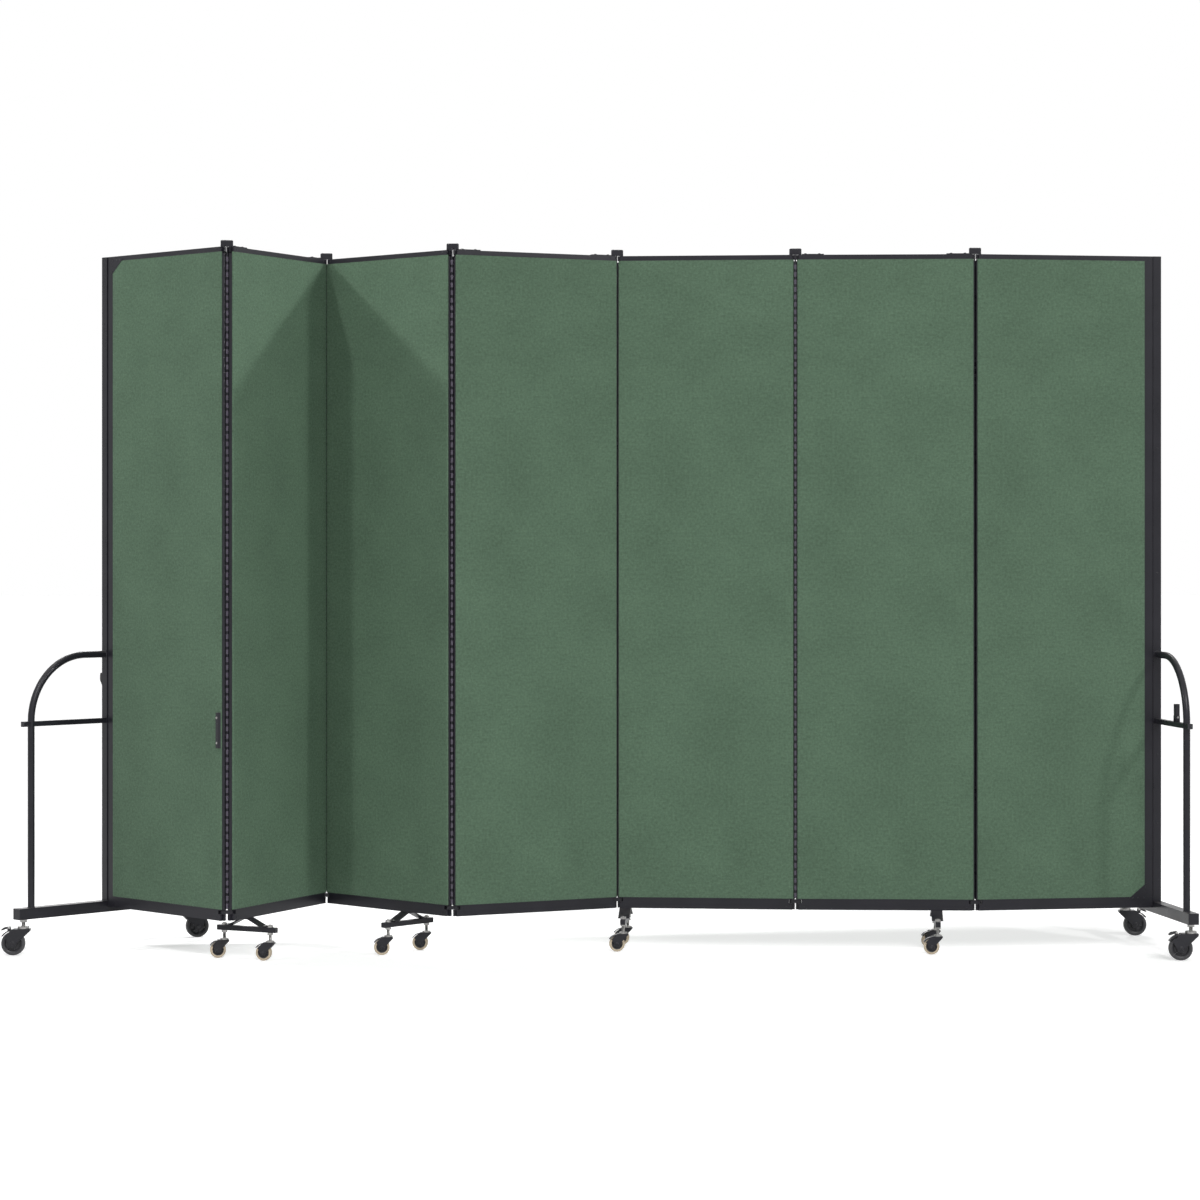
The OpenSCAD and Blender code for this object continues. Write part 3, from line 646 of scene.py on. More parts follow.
class Shape:
    """Collects corners and faces of one piece, with a finish for each face."""

    def __init__(self):
        self.corners = []
        self.faces = []
        self.finish = []
        self.cloth = []

    def add(self, corners, faces, finish=0):
        start = len(self.corners)
        self.corners.extend(Vector(c) for c in corners)
        for face in faces:
            self.faces.append([start + k for k in face])
            self.finish.append(finish)

    def lathe(self, profile, origin, axis, sides=32, finish=0, close=False):
        """Turns (radius, height) points about an axis; a radius of 0 closes an end."""
        axis = Vector(axis).normalized()
        side = axis.orthogonal().normalized()
        other = axis.cross(side)
        origin = Vector(origin)
        corners, rings = [], []
        for radius, height in profile:
            if radius < 1e-9:
                rings.append([len(corners)])
                corners.append(origin + axis * height)
            else:
                rings.append(list(range(len(corners), len(corners) + sides)))
                for k in range(sides):
                    a = 2 * math.pi * k / sides
                    out = side * math.cos(a) + other * math.sin(a)
                    corners.append(origin + axis * height + out * radius)
        pairs = list(zip(rings, rings[1:]))
        if close:
            pairs.append((rings[-1], rings[0]))
        faces = []
        for low, high in pairs:
            for k in range(sides):
                m = (k + 1) % sides
                if len(low) == 1 and len(high) > 1:
                    faces.append((low[0], high[m], high[k]))
                elif len(high) == 1 and len(low) > 1:
                    faces.append((low[k], low[m], high[0]))
                elif len(low) > 1:
                    faces.append((low[k], low[m], high[m], high[k]))
        self.add(corners, faces, finish)

    def prism(self, outline, origin, side, up, along, length, finish=0):
        """An outline in side and up, drawn along by a length from the origin."""
        origin = Vector(origin)
        count = len(outline)
        corners = []
        for step in (0.0, length):
            corners += [origin + side * a + up * b + along * step for a, b in outline]
        faces = [tuple(range(count - 1, -1, -1)), tuple(range(count, 2 * count))]
        for k in range(count):
            m = (k + 1) % count
            faces.append((k, m, count + m, count + k))
        self.add(corners, faces, finish)

    def block(self, centre, side, up, along, size, cut, finish=0):
        """A block with its four long corners cut, its length along the last direction."""
        a, b, c = (s / 2 for s in size)
        outline = [(-a + cut, -b), (a - cut, -b), (a, -b + cut), (a, b - cut),
                   (a - cut, b), (-a + cut, b), (-a, b - cut), (-a, -b + cut)]
        self.prism(outline, Vector(centre) - along * c, side, up, along, 2 * c, finish)

    def screw(self, place, axis, radius, height, finish=0):
        """A pan head with a rolled rim and a sunk drive, standing on a washer."""
        r, h = radius, height
        profile = [(r * 1.22, 0), (r * 1.22, h * 0.16), (r * 1.02, h * 0.22), (r, h * 0.35),
                   (r * 0.97, h * 0.62), (r * 0.84, h * 0.86), (r * 0.6, h), (r * 0.42, h),
                   (r * 0.36, h * 0.62), (0, h * 0.5)]
        self.lathe(profile, place, axis, 20, finish)

    def rivet(self, place, axis, radius, height, finish=0):
        """A domed rivet head."""
        r, h = radius, height
        profile = [(r, 0), (r * 0.98, h * 0.3), (r * 0.85, h * 0.65), (r * 0.6, h * 0.88),
                   (r * 0.3, h * 0.98), (0, h)]
        self.lathe(profile, place, axis, 20, finish)

    def piece(self, name, keys, body, slot, smooth=35.0):
        """Makes the object, with the finishes of the given keys, and hangs it on its body."""
        mesh = bpy.data.meshes.new(name)
        mesh.from_pydata([tuple(c) for c in self.corners], [], self.faces)
        mesh.polygons.foreach_set("material_index", self.finish)
        for key in keys:
            mesh.materials.append(finishes()[key])
        if self.cloth:
            layer = mesh.uv_layers.new(name="cloth")
            for loop in mesh.loops:
                layer.data[loop.index].uv = self.cloth[loop.vertex_index]
        mesh.update()
        mesh.shade_smooth()
        mesh.set_sharp_from_angle(angle=math.radians(smooth))
        thing = bpy.data.objects.new(name, mesh)
        bpy.context.scene.collection.objects.link(thing)
        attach(thing, body)
        return thing


# ---- fabric


BOARD_EDGE = 8.5 * MM
BOARD_ROUND = 4 * MM
# The cloth lies flat within this of its edge, and its weave starts this much on from panel to panel
EASE_EDGE = 0.04
CLOTH_STEP = 0.031


def fabric_path(left_round, right_round, stand):
    """Points (x, y, length so far) of the cloth round one board, seen from above, y outwards."""
    x0 = -BOARD_EDGE if left_round else 0.0
    x1 = SPAN + BOARD_EDGE if right_round else SPAN
    face = HALF_PANEL + stand
    radius = BOARD_ROUND + stand
    points = []
    steps = 6
    if left_round:
        for k in range(steps + 1):
            a = math.pi - math.pi / 2 * k / steps
            points.append((x0 + BOARD_ROUND + radius * math.cos(a), face - radius + radius * math.sin(a)))
        start = x0 + BOARD_ROUND
    else:
        points.append((x0, face))
        start = x0
    end = x1 - BOARD_ROUND if right_round else x1
    columns = 26
    points += [(start + (end - start) * k / columns, face) for k in range(1, columns)]
    if right_round:
        for k in range(steps + 1):
            a = math.pi / 2 - math.pi / 2 * k / steps
            points.append((end + radius * math.cos(a), face - radius + radius * math.sin(a)))
    else:
        points.append((x1, face))
    length, result = 0.0, []
    for k, (x, y) in enumerate(points):
        if k:
            length += math.dist(points[k - 1], (x, y))
        result.append((x, y, length))
    return result


def unevenness(seed, u, v):
    """Slow rise and fall of stretched cloth, from -1 to 1."""
    return (math.sin(5.1 * u + 1.7 * seed + 0.9 * v) * 0.45
            + math.sin(2.3 * v - 3.1 * u + 2.9 * seed) * 0.35
            + math.sin(11.0 * u + 4.7 * v + 0.6 * seed) * 0.2)


def fabric_face(number, side, settings):
    """The cloth on one face of a panel; side is -1 at the front and 1 at the back."""
    place = PLACES[number]
    path = fabric_path(number > 1, number < PANELS, settings.stand)
    rows = 64
    low, high = BOARD_LOW + 0.2 * MM, BOARD_HIGH - 0.2 * MM
    total = path[-1][2]
    shape = Shape()
    corners = []
    for r in range(rows + 1):
        v = r / rows
        z = low + (high - low) * v
        for x, y, length in path:
            edge = min(length, total - length, z - low, high - z)
            fade = min(1.0, edge / EASE_EDGE)
            lift = settings.ease * fade * (0.6 + 0.6 * unevenness(number * side, x, z))
            corners.append(place.point(x, side * (y + max(0.0, lift)), z))
            shape.cloth.append((length + CLOTH_STEP * number, z))
    shape.add(corners, grid(rows + 1, len(path), side > 0))
    name = "panel_%d_fabric_%s" % (number, "front" if side < 0 else "back")
    cloth = shape.piece(name, ["fabric"], "panel_%d" % number, "green_fabric", 60.0)
    return cloth


class PARTITION_OT_fabric(bpy.types.Operator):
    """Stretch the fabric over both faces of each panel"""

    bl_idname = "partition.fabric"
    bl_label = "Panel fabric"

    def execute(self, context):
        settings = values("partition_fabric")
        for number in range(1, PANELS + 1):
            for side in (-1, 1):
                fabric_face(number, side, settings)
        return {"FINISHED"}


# ---- finishes of the CAD nodes


def node_finish(name):
    """The key of the finish of a node that stays as it is packed."""
    small = name.startswith("caster_")
    if name.startswith("hinge_"):
        return "hinge"
    if name.endswith("_end_frame"):
        return "end_frame"
    return {
        "boards": "board", "brake": "pedal", "stop": "bumper", "latch": "moulding", "keeper": "moulding",
        "fork": "small_fork" if small else "large_fork", "wheel": "tread" if small else "dark_tread",
    }.get(name.split("_")[-1], "frame")


class PARTITION_OT_finishes(bpy.types.Operator):
    """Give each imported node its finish"""

    bl_idname = "partition.finishes"
    bl_label = "Frame finishes"

    def execute(self, context):
        for name, thing in frame["nodes"].items():
            finish = finishes()[node_finish(name)]
            if not thing.material_slots:
                raise RuntimeError("node %s has no material slot" % name)
            for slot in thing.material_slots:
                slot.link = "OBJECT"
                slot.material = finish
        return {"FINISHED"}


# ---- hinges


def knuckle_heights(settings):
    """Where each knuckle of a seam begins, and how tall each one is."""
    pitch = settings.knuckle_pitch
    tall = pitch * settings.knuckle_share
    low, high = BOARD_LOW + 3 * MM, BOARD_HIGH - 8 * MM
    return [low + k * pitch for k in range(int((high - low - tall) / pitch) + 1)], tall


def knuckle_row(place, outwards, settings):
    """Knuckles on the closing strip round one pin: short bent plates, one above the other."""
    shape = Shape()
    radius, proud, slope = 13.7 * MM, 0.2 * MM, 0.6 * MM
    reach, steps = math.radians(31), 6
    bases, tall = knuckle_heights(settings)
    for base in bases:
        heights = [(base, 0.0), (base + slope, proud), (base + tall - slope, proud), (base + tall, 0.0)]
        corners = []
        for z, out in heights:
            for s in range(steps + 1):
                a = -reach + 2 * reach * s / steps
                edge = 0.02 * MM if s in (0, steps) else 0.0
                r = radius + max(0.03 * MM, out) - edge
                corners.append(place.point(outwards * r * math.cos(a), r * math.sin(a), z))
        shape.add(corners, grid(len(heights), steps + 1, outwards < 0))
    return shape


class PARTITION_OT_hinges(bpy.types.Operator):
    """Add the knuckles along the seams, the trim of the caps, the columns of barrels and the screws of strap
    plates
    """

    bl_idname = "partition.hinges"
    bl_label = "Hinge fittings"

    def execute(self, context):
        settings = values("partition_frame")
        for number in range(1, PANELS + 1):
            body = "panel_%d" % number
            place = PLACES[number]
            for end, outwards, present in (("left", -1, number > 1), ("right", 1, number < PANELS)):
                if present:
                    row = knuckle_row(place if outwards < 0 else place.away(SPAN, 0.0), outwards, settings)
                    row.piece("panel_%d_knuckles_%s" % (number, end), ["hinge"], body, "black_hinge")
            if number % 2 == 0:
                self.straps(number)
        for number in range(1, PANELS):
            self.cap(number)
            self.column(number, settings)
        return {"FINISHED"}

    def straps(self, number):
        shape = Shape()
        place = PLACES[number]
        for x in (18 * MM, 62 * MM):
            for along in (x, SPAN - x):
                shape.screw(place.point(along, 0, STRAP_TOP), UP, 4.2 * MM, 2.4 * MM)
        shape.piece("panel_%d_strap_screws" % number, ["black_screw"], "panel_%d" % number,
                    "black_frame")

    def cap(self, number):
        """A ring round each pin below the cap, and a rib along its top."""
        name, place = hinge_place(number)
        shape = Shape()
        low, inner, outer = CAP_LOW, 5.55 * MM, 5.9 * MM
        ring = [(inner, low + 1.2 * MM), (outer, low + 1.5 * MM), (outer, low + 3.4 * MM),
                (inner, low + 3.7 * MM)]
        for x in (0.0, PIN_GAP):
            shape.lathe(ring, place.point(x, 0, 0), UP, 28)
        shape.block(place.point(PIN_GAP / 2, 0, CAP_TOP - 0.55 * MM), place.y, place.z, place.x,
                    (3.4 * MM, 1.0 * MM, PIN_GAP * 0.7), 0.4 * MM)
        shape.piece("hinge_%s_cap_trim" % name, ["hinge"], "link_" + name, "black_hinge")

    def column(self, number, settings):
        """A column of barrels hung from the cap, closing the slit on the hinge's outer side."""
        name, place = hinge_place(number)
        outer = -1 if number % 2 else 1
        barrel, core, chamfer = COLUMN_R, COLUMN_R * 0.62, 0.7 * MM
        high = CAP_LOW + 4 * MM
        bases, tall = knuckle_heights(settings)
        shape = Shape()
        foot = place.point(PIN_GAP / 2, outer * COLUMN_OUT, 0)
        shape.lathe([(0, bases[0]), (core, bases[0]), (core, high - 4 * MM), (core, high), (0, high)],
                    foot, place.z, 14, 0)
        # The barrels take the knuckle finish, whose light colour is a painted highlight
        for base in bases:
            z, top = base + 0.5 * MM, base + 0.5 * MM + tall
            shape.lathe([(core - 0.1 * MM, z), (barrel - chamfer, z), (barrel, z + chamfer),
                         (barrel, top - chamfer), (barrel - chamfer, top), (core - 0.1 * MM, top)],
                        foot, place.z, 16, 1)
        reach = COLUMN_OUT + core - 3 * MM
        arm = place.point(PIN_GAP / 2, outer * (3 * MM + reach / 2), CAP_LOW + 2.6 * MM)
        shape.block(arm, place.x, place.z, place.y, (2 * core, 4.4 * MM, reach), 0.8 * MM)
        shape.piece("hinge_%s_column" % name, ["hinge", "knuckle"], "link_" + name,
                    "black_hinge", 30.0)


# ---- rails, gussets and bars


class PARTITION_OT_rails(bpy.types.Operator):
    """Add the rivets of gussets and rails and the bolts of the caster bars"""

    bl_idname = "partition.rails"
    bl_label = "Rail fittings"

    def execute(self, context):
        for number in range(1, PANELS + 1):
            self.rail_screws(number)
        self.gusset_rivets()
        for number in (2, 3, 5, 6):
            self.bar_bolts(number)
        return {"FINISHED"}

    def rail_screws(self, number):
        """Rivets at the ends of both rails, and a thin strip along each edge of the boards."""
        shape = Shape()
        place = PLACES[number]
        inset, margin = 14 * MM, 30 * MM
        length = SPAN - 2 * margin
        for side in (-1, 1):
            for x in (inset, SPAN - inset):
                for z in (RAIL_LOW + 9 * MM, BOARD_HIGH + 7.5 * MM):
                    shape.rivet(place.point(x, side * HALF_PANEL, z), place.y * side, 2.6 * MM, 0.9 * MM)
            line = place.point(margin, side * HALF_PANEL, 0)
            for z in (BOARD_LOW - 1.2 * MM, BOARD_HIGH + 1.2 * MM):
                shape.block(line + place.x * length / 2 + place.z * z, place.y * side, place.z, place.x,
                            (0.7 * MM, 1.6 * MM, length), 0.2 * MM)
        shape.piece("panel_%d_rail_trim" % number, ["frame"], "panel_%d" % number, "black_frame")

    def gusset_rivets(self):
        """Rivets on both gussets, in millimetres from the panel's corner."""
        face = HALF_PANEL + 1.55 * MM
        spots = {
            1: [(9, -3), (30, -3), (46, -3), (4, -22), (4, -38)],
            PANELS: [(-9, 3), (-30, 3), (-46, 3), (-4, 22), (-4, 38)],
        }
        for number, places in spots.items():
            place = PLACES[number]
            corner_x = -6 * MM if number == 1 else SPAN + 6 * MM
            corner_z = BOARD_HIGH + 6 * MM if number == 1 else BOARD_LOW - 6 * MM
            shape = Shape()
            for x, z in places:
                for side in (-1, 1):
                    shape.rivet(place.point(corner_x + x * MM, side * face, corner_z + z * MM),
                                place.y * side, 2.3 * MM, 1.1 * MM)
            shape.piece("panel_%d_gusset_rivets" % number, ["black_screw"], "panel_%d" % number,
                        "black_frame")

    def bar_bolts(self, number):
        """Screws through the feet of a bar's brace, and a groove pair at each end of the bar."""
        place = PLACES[number]
        x = (spot("caster_%d_front_swivel" % number) - place.origin).dot(place.x)
        foot, end = 66 * MM, 105.8 * MM
        top = BAR_LOW + BAR_TALL + 4 * MM
        shape = Shape()
        for side in (-1, 1):
            for along in (-5.5 * MM, 5.5 * MM):
                shape.screw(place.point(x + along, side * foot, top), UP, 2.8 * MM, 2.2 * MM, 1)
            for z in (-5.2 * MM, 5.2 * MM):
                shape.block(place.point(x, side * end, BAR_LOW + BAR_TALL / 2 + z), place.z, place.y,
                            place.x, (0.8 * MM, 1.4 * MM, 16.4 * MM), 0.2 * MM)
        shape.piece("caster_bar_%d_fittings" % number, ["frame", "zinc"], "panel_%d" % number,
                    "black_frame")


# ---- end frames


def weld_bead(shape, place, axis, radius, thick):
    """A bead laid round a joint, uneven as a hand weld is."""
    axis = Vector(axis).normalized()
    side = axis.orthogonal().normalized()
    other = axis.cross(side)
    turns, ring = 48, 8
    corners, faces = [], []
    for k in range(turns):
        a = 2 * math.pi * k / turns
        out = side * math.cos(a) + other * math.sin(a)
        fat = thick * (1 + 0.22 * math.sin(11 * a) + 0.1 * math.sin(23 * a + 1))
        for m in range(ring):
            b = 2 * math.pi * m / ring
            corners.append(Vector(place) + out * (radius + fat * math.cos(b)) + axis * fat * math.sin(b))
    for k in range(turns):
        for m in range(ring):
            a, b = k * ring + m, k * ring + (m + 1) % ring
            c, d = ((k + 1) % turns) * ring + (m + 1) % ring, ((k + 1) % turns) * ring + m
            faces.append((a, b, c, d))
    shape.add(corners, faces)


class PARTITION_OT_ends(bpy.types.Operator):
    """Add welds, screws and plug trim to the end frames, and fittings to latch and stop"""

    bl_idname = "partition.ends"
    bl_label = "End frame fittings"

    def execute(self, context):
        for end, (place, body) in ENDS.items():
            self.tubes(end, place, body)
        self.latch()
        self.keeper()
        self.stop()
        return {"FINISHED"}

    def tubes(self, end, place, body):
        """Welds, screws and rivets of one end frame, and the trim of its plugs."""
        shape = Shape()
        mid = POST_W / 2
        bead = HOOP_R + 0.2 * MM
        base_top = BASE_LOW + BASE_TALL
        for side in (-1, 1):
            weld_bead(shape, place.point(mid, side * POST_D / 2, HOOP_Z), place.y, bead, 1.3 * MM)
            weld_bead(shape, place.point(mid, side * HOOP_REACH, base_top), UP, bead, 1.4 * MM)
            for z in (HOOP_Z, CROSS_Z):
                shape.screw(place.point(POST_W, side * 8 * MM, z), place.x, 3.0 * MM, 2.2 * MM, 1)
            for around in (-1, 1):
                shape.block(place.point(mid, side * (POST_D / 2 + 0.6 * MM), CROSS_Z + around * 8.4 * MM),
                            place.y, place.z, place.x, (1.6 * MM, 1.6 * MM, 17 * MM), 0.4 * MM)
            for along in (-1, 1):
                shape.block(place.point(mid + along * (POST_W / 2 + 0.5 * MM), 0, base_top + 0.6 * MM),
                            place.x, place.z, place.y, (1.4 * MM, 1.6 * MM, POST_D), 0.4 * MM)
            cap = place.point(mid, side * CROSS_END, CROSS_Z)
            shape.block(cap, place.x, place.z, place.y, (16.8 * MM, 16.8 * MM, 1.4 * MM), 1.5 * MM, 2)
            plug = place.point(17.5 * MM, side * BASE_END, BASE_LOW + BASE_TALL / 2)
            shape.block(plug, place.x, place.z, place.y, (33.8 * MM, 34.8 * MM, 1.8 * MM), 3 * MM, 2)
        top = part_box("%s_end_frame" % end)[1][2]
        shape.block(place.point(mid, 0, top - 1.6 * MM), place.x, place.y, place.z,
                    (POST_W + 1.2 * MM, POST_D + 1.2 * MM, 3 * MM), 2 * MM, 2)
        for z in (0.40, 0.62, 1.2, 1.6, 2.0):
            for side in (-1, 1):
                shape.rivet(place.point(mid, side * POST_D / 2, z), place.y * side, 3.2 * MM, 1.4 * MM, 3)
        shape.piece("%s_end_frame_fittings" % end, ["weld", "zinc", "moulding", "black_screw"], body,
                    "black_frame")

    def latch(self):
        """The heads of the latch's pivot, and grip ribs up the latch."""
        place = ENDS["right"][0]
        origin = spot("latch_turn")
        head, face, first, pitch = 11 * MM, 7 * MM, 14 * MM, 5.2 * MM
        shape = Shape()
        for side in (-1, 1):
            shape.rivet(origin + place.y * side * head, place.y * side, 3.4 * MM, 1.4 * MM)
        shape.piece("latch_pivot_rivets", ["zinc"], "panel_7", "black_plastic")
        grip = Shape()
        for k in range(5):
            rib = origin + place.z * (first + pitch * k) - place.x * face
            grip.block(rib, place.z, place.x, place.y, (1.8 * MM, 1.6 * MM, 13 * MM), 0.5 * MM)
        grip.piece("latch_grip_ribs", ["moulding"], "latch", "black_plastic")

    def keeper(self):
        """Two screws and two ribs on the keeper's front."""
        low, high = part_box("latch_keeper")
        place = PLACES[1]
        x, front = SPAN + BOARD_EDGE - 7 * MM, -HALF_PANEL - 12 * MM
        screw_in, rib_in = 16 * MM, 34 * MM
        shape = Shape()
        for z in (low[2] + screw_in, high[2] - screw_in):
            shape.screw(place.point(x, front, z), -place.y, 3.1 * MM, 2.0 * MM)
        for z in (low[2] + rib_in, high[2] - rib_in):
            shape.block(place.point(x, front, z), place.z, -place.y, place.x,
                        (2.2 * MM, 1.2 * MM, 10.4 * MM), 0.5 * MM, 1)
        shape.piece("latch_keeper_fittings", ["zinc", "moulding"], "panel_1", "black_plastic")

    def stop(self):
        """The screw that holds the stop on the left post."""
        low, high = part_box("post_stop")
        place = ENDS["left"][0]
        shape = Shape()
        proud, above = 12 * MM, 5 * MM
        z = (low[2] + high[2]) / 2 + above
        shape.screw(place.point(POST_W + proud, 0, z), place.x, 3.2 * MM, 1.6 * MM)
        shape.piece("post_stop_screw", ["zinc"], "panel_1", "black_wheel")


# ---- casters


THREAD_PITCH = 1.25 * MM


def wheel_profile(radius, width, hub):
    """Tread with a crowned face and rounded shoulders, from its inner rim round to the other."""
    r, w = radius, width / 2
    return [(hub, -w * 0.92), (hub * 1.04, -w), (r * 0.9, -w), (r * 0.955, -w * 0.93), (r * 0.985, -w * 0.75),
            (r * 0.997, -w * 0.4), (r, 0), (r * 0.997, w * 0.4), (r * 0.985, w * 0.75), (r * 0.955, w * 0.93),
            (r * 0.9, w), (hub * 1.04, w), (hub, w * 0.92)]


def hub_profile(hub, width, bore):
    """Dished hub with a rim and a boss round its axle."""
    w = width / 2
    half = [(bore, w * 1.02), (bore * 1.9, w * 1.02), (bore * 2.1, w * 0.9), (bore * 2.2, w * 0.5),
            (hub * 0.8, w * 0.42), (hub * 0.88, w * 0.86), (hub * 0.99, w * 0.96)]
    return [(r, -h) for r, h in half] + [(r, h) for r, h in half[::-1]]


def dressed_wheel(name, settings):
    """A moulded wheel that stands for its packed one."""
    small, diameter, width, _ = caster_sizes(name)
    radius = diameter / 2
    axle = joint(name + "_roll")
    centre, axis = Vector(axle["pos_m"]), Vector(axle["axis"]).normalized()
    hub, bore = radius * (0.7 if small else 0.76), radius * 0.125
    shape = Shape()
    shape.lathe(wheel_profile(radius, width, hub), centre, axis, 64, 0, close=True)
    shape.lathe(hub_profile(hub, width, bore), centre, axis, 64, 1, close=True)
    side = axis.orthogonal().normalized()
    other = axis.cross(side)
    for face in (-1, 1):
        for k in range(settings.ribs):
            a = 2 * math.pi * k / settings.ribs
            out = side * math.cos(a) + other * math.sin(a)
            rib = centre + out * hub * 0.55 + axis * face * width * 0.3
            shape.block(rib, axis.cross(out), axis, out, (radius * 0.07, width * 0.24, hub * 0.56),
                        radius * 0.015, 1)
        shape.lathe([(hub * 1.03, width / 2 * face), (hub * 1.07, (width / 2 + 0.15 * MM) * face),
                     (hub * 1.11, width / 2 * face)], centre, axis, 64, 0)
    wheel = shape.piece(name + "_moulded_wheel", ["tread" if small else "dark_tread", "hub"],
                        name + "_roller", "cream_wheel" if small else "black_wheel", 40.0)
    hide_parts(name + "_wheel")


def fork_fittings(name):
    """Bearing ring, axle caps, hex nuts and a thread on one fork."""
    small, wheel_d, wheel_w, stem_d = caster_sizes(name)
    place, trail = caster_place(name)
    seat = BAR_LOW if small else BASE_LOW
    stem_foot = place.point(0, 0, 0)
    shape = Shape()
    cheek = wheel_w / 2 + 1 * MM + wheel_w * 0.16
    for side in (-1, 1):
        hub = place.point(trail, side * cheek, wheel_d / 2)
        r = wheel_d * 0.1
        shape.lathe([(r, 0), (r * 0.97, 0.8 * MM), (r * 0.8, 1.3 * MM), (r * 0.55, 1.4 * MM),
                     (r * 0.5, 2.0 * MM), (r * 0.3, 2.3 * MM), (0, 2.4 * MM)], hub, place.y * side, 28)
    plate_top = wheel_d + 3 * MM + wheel_d * 0.08
    ring_r = wheel_w * 0.65
    ring = [(ring_r, 0.3 * MM), (ring_r + 1.1 * MM, 0.6 * MM), (ring_r + 1.4 * MM, wheel_d * 0.045),
            (ring_r + 1.1 * MM, wheel_d * 0.08), (ring_r, wheel_d * 0.09)]
    shape.lathe(ring, place.point(0, 0, plate_top), UP, 40)
    nut_h, flat, bore = stem_d * 0.7, stem_d * 0.86, stem_d * 0.52
    corner = flat / math.cos(math.pi / 6)
    hexagon = [(corner * math.cos(math.pi / 3 * k), corner * math.sin(math.pi / 3 * k)) for k in range(6)]
    washer, washer_h, clear = flat * 1.25, 0.9 * MM, 0.5 * MM
    # The small stems come through their bar and have a second nut on top
    nuts = [seat - clear - nut_h] + ([seat + BAR_TALL + clear] if small else [])
    for low in nuts:
        top = low + nut_h
        shape.prism(hexagon, place.point(0, 0, low + washer_h), place.x, place.y, place.z,
                    nut_h - 1.4 * MM, 1)
        shape.lathe([(flat * 0.98, top - 0.5 * MM), (flat * 0.8, top - 0.05 * MM), (bore, top - 0.05 * MM)],
                    stem_foot, UP, 30, 1)
        shape.lathe([(bore, low), (washer, low), (washer, low + washer_h), (bore, low + washer_h)],
                    stem_foot, UP, 30, 1)
    z, thread_high = plate_top + wheel_d * 0.1 + 2 * MM, seat - nut_h - 1.5 * MM
    profile = []
    while z < thread_high:
        profile += [(stem_d * 0.5 + 0.05 * MM, z), (stem_d * 0.5 + 0.45 * MM, z + 0.6 * MM)]
        z += THREAD_PITCH
    if len(profile) > 3:
        shape.lathe(profile, stem_foot, UP, 28, 1)
    shape.piece(name + "_fork_fittings", ["small_fork" if small else "large_fork", "zinc"],
                name + "_swivel", "caster_body")


def pedal_ribs(name):
    """Grip ribs across the tab of one brake pedal."""
    place, trail = caster_place(name)
    x, z = trail + 13 * MM, 86 * MM
    shape = Shape()
    slope = (place.x * 17.5 - UP * 3.0).normalized()
    up = slope.cross(-place.y).normalized()
    if up.z < 0:
        up = -up
    for k in range(4):
        along = 5 * MM + 3.4 * MM * k
        centre = place.point(x, 0, z + 4 * MM) + slope * along
        shape.block(centre, slope, up, place.y, (1.5 * MM, 1.4 * MM, 15 * MM), 0.35 * MM)
    shape.piece(name + "_pedal_ribs", ["pedal"], name + "_pedal", "black_plastic")
    pins = Shape()
    for side in (-1, 1):
        pins.rivet(place.point(x, side * 11.5 * MM, z), place.y * side, 2.6 * MM, 1.1 * MM)
    pins.piece(name + "_pedal_pins", ["zinc"], name + "_swivel", "caster_body")


class PARTITION_OT_casters(bpy.types.Operator):
    """Build the moulded wheels and the fittings of forks and brakes"""

    bl_idname = "partition.casters"
    bl_label = "Caster fittings"

    def execute(self, context):
        settings = values("partition_caster")
        for name in SMALL + LARGE:
            dressed_wheel(name, settings)
            fork_fittings(name)
        for name in LARGE:
            pedal_ribs(name)
        return {"FINISHED"}


# ---- stage


# Glow of the floor to the camera, set so that bare floor is white and the object's shadow stays
FLOOR_GLOW = 0.50
# Azimuth and elevation of the lights far off
FAR_LIGHTS = (("Front light", -79.0, 33.0), ("Back light", 98.0, 35.0))
# Place and radius of the lamps beside the camera, worked out from the shadows in the picture
SIDE_LAMPS = (("Left lamp", (-3.43, -3.15, 4.5), 0.12), ("Right lamp", (4.12, -2.96, 3.51), 0.2))
# Azimuth and distance, from the folded corner, of the lamps above it, and the panel each one lights
CEILING_LAMPS = (("Left ceiling lamp", -170.0, 1.4, 3), ("Right ceiling lamp", 7.0, 1.7, 2))
CEILING_ELEVATION = 33.0
CEILING_RADIUS = 0.06
AIM_HEIGHT = 1.6
FLOOR_REACH = 60.0


def floor_finish():
    """Pale floor that the camera sees as white, except where the object shades it."""
    material = bpy.data.materials.new("Pale floor")
    n = clear_nodes(material)
    plain = n.node("ShaderNodeBsdfDiffuse", {"Color": (0.8, 0.8, 0.8)})
    strength = n.times(seen_rays(n), FLOOR_GLOW)
    glow = n.node("ShaderNodeEmission", {"Color": (1.0, 1.0, 1.0), "Strength": strength})
    both = n.node("ShaderNodeAddShader", {0: plain, 1: glow})
    n.link(both, n.add("ShaderNodeOutputMaterial").inputs[0])
    return material


def bearing(azimuth, elevation):
    """Unit direction from angles in degrees."""
    a, e = math.radians(azimuth), math.radians(elevation)
    return Vector((math.cos(a) * math.cos(e), math.sin(a) * math.cos(e), math.sin(e)))


def far_light(name, azimuth, elevation, strength, softness):
    """A broad light from far off."""
    data = bpy.data.lights.new(name, "SUN")
    data.energy = strength
    data.angle = softness
    towards = bearing(azimuth, elevation)
    thing = bpy.data.objects.new(name, data)
    thing.location = towards * 8.0
    thing.rotation_euler = (-towards).to_track_quat("-Z", "Y").to_euler()
    bpy.context.scene.collection.objects.link(thing)


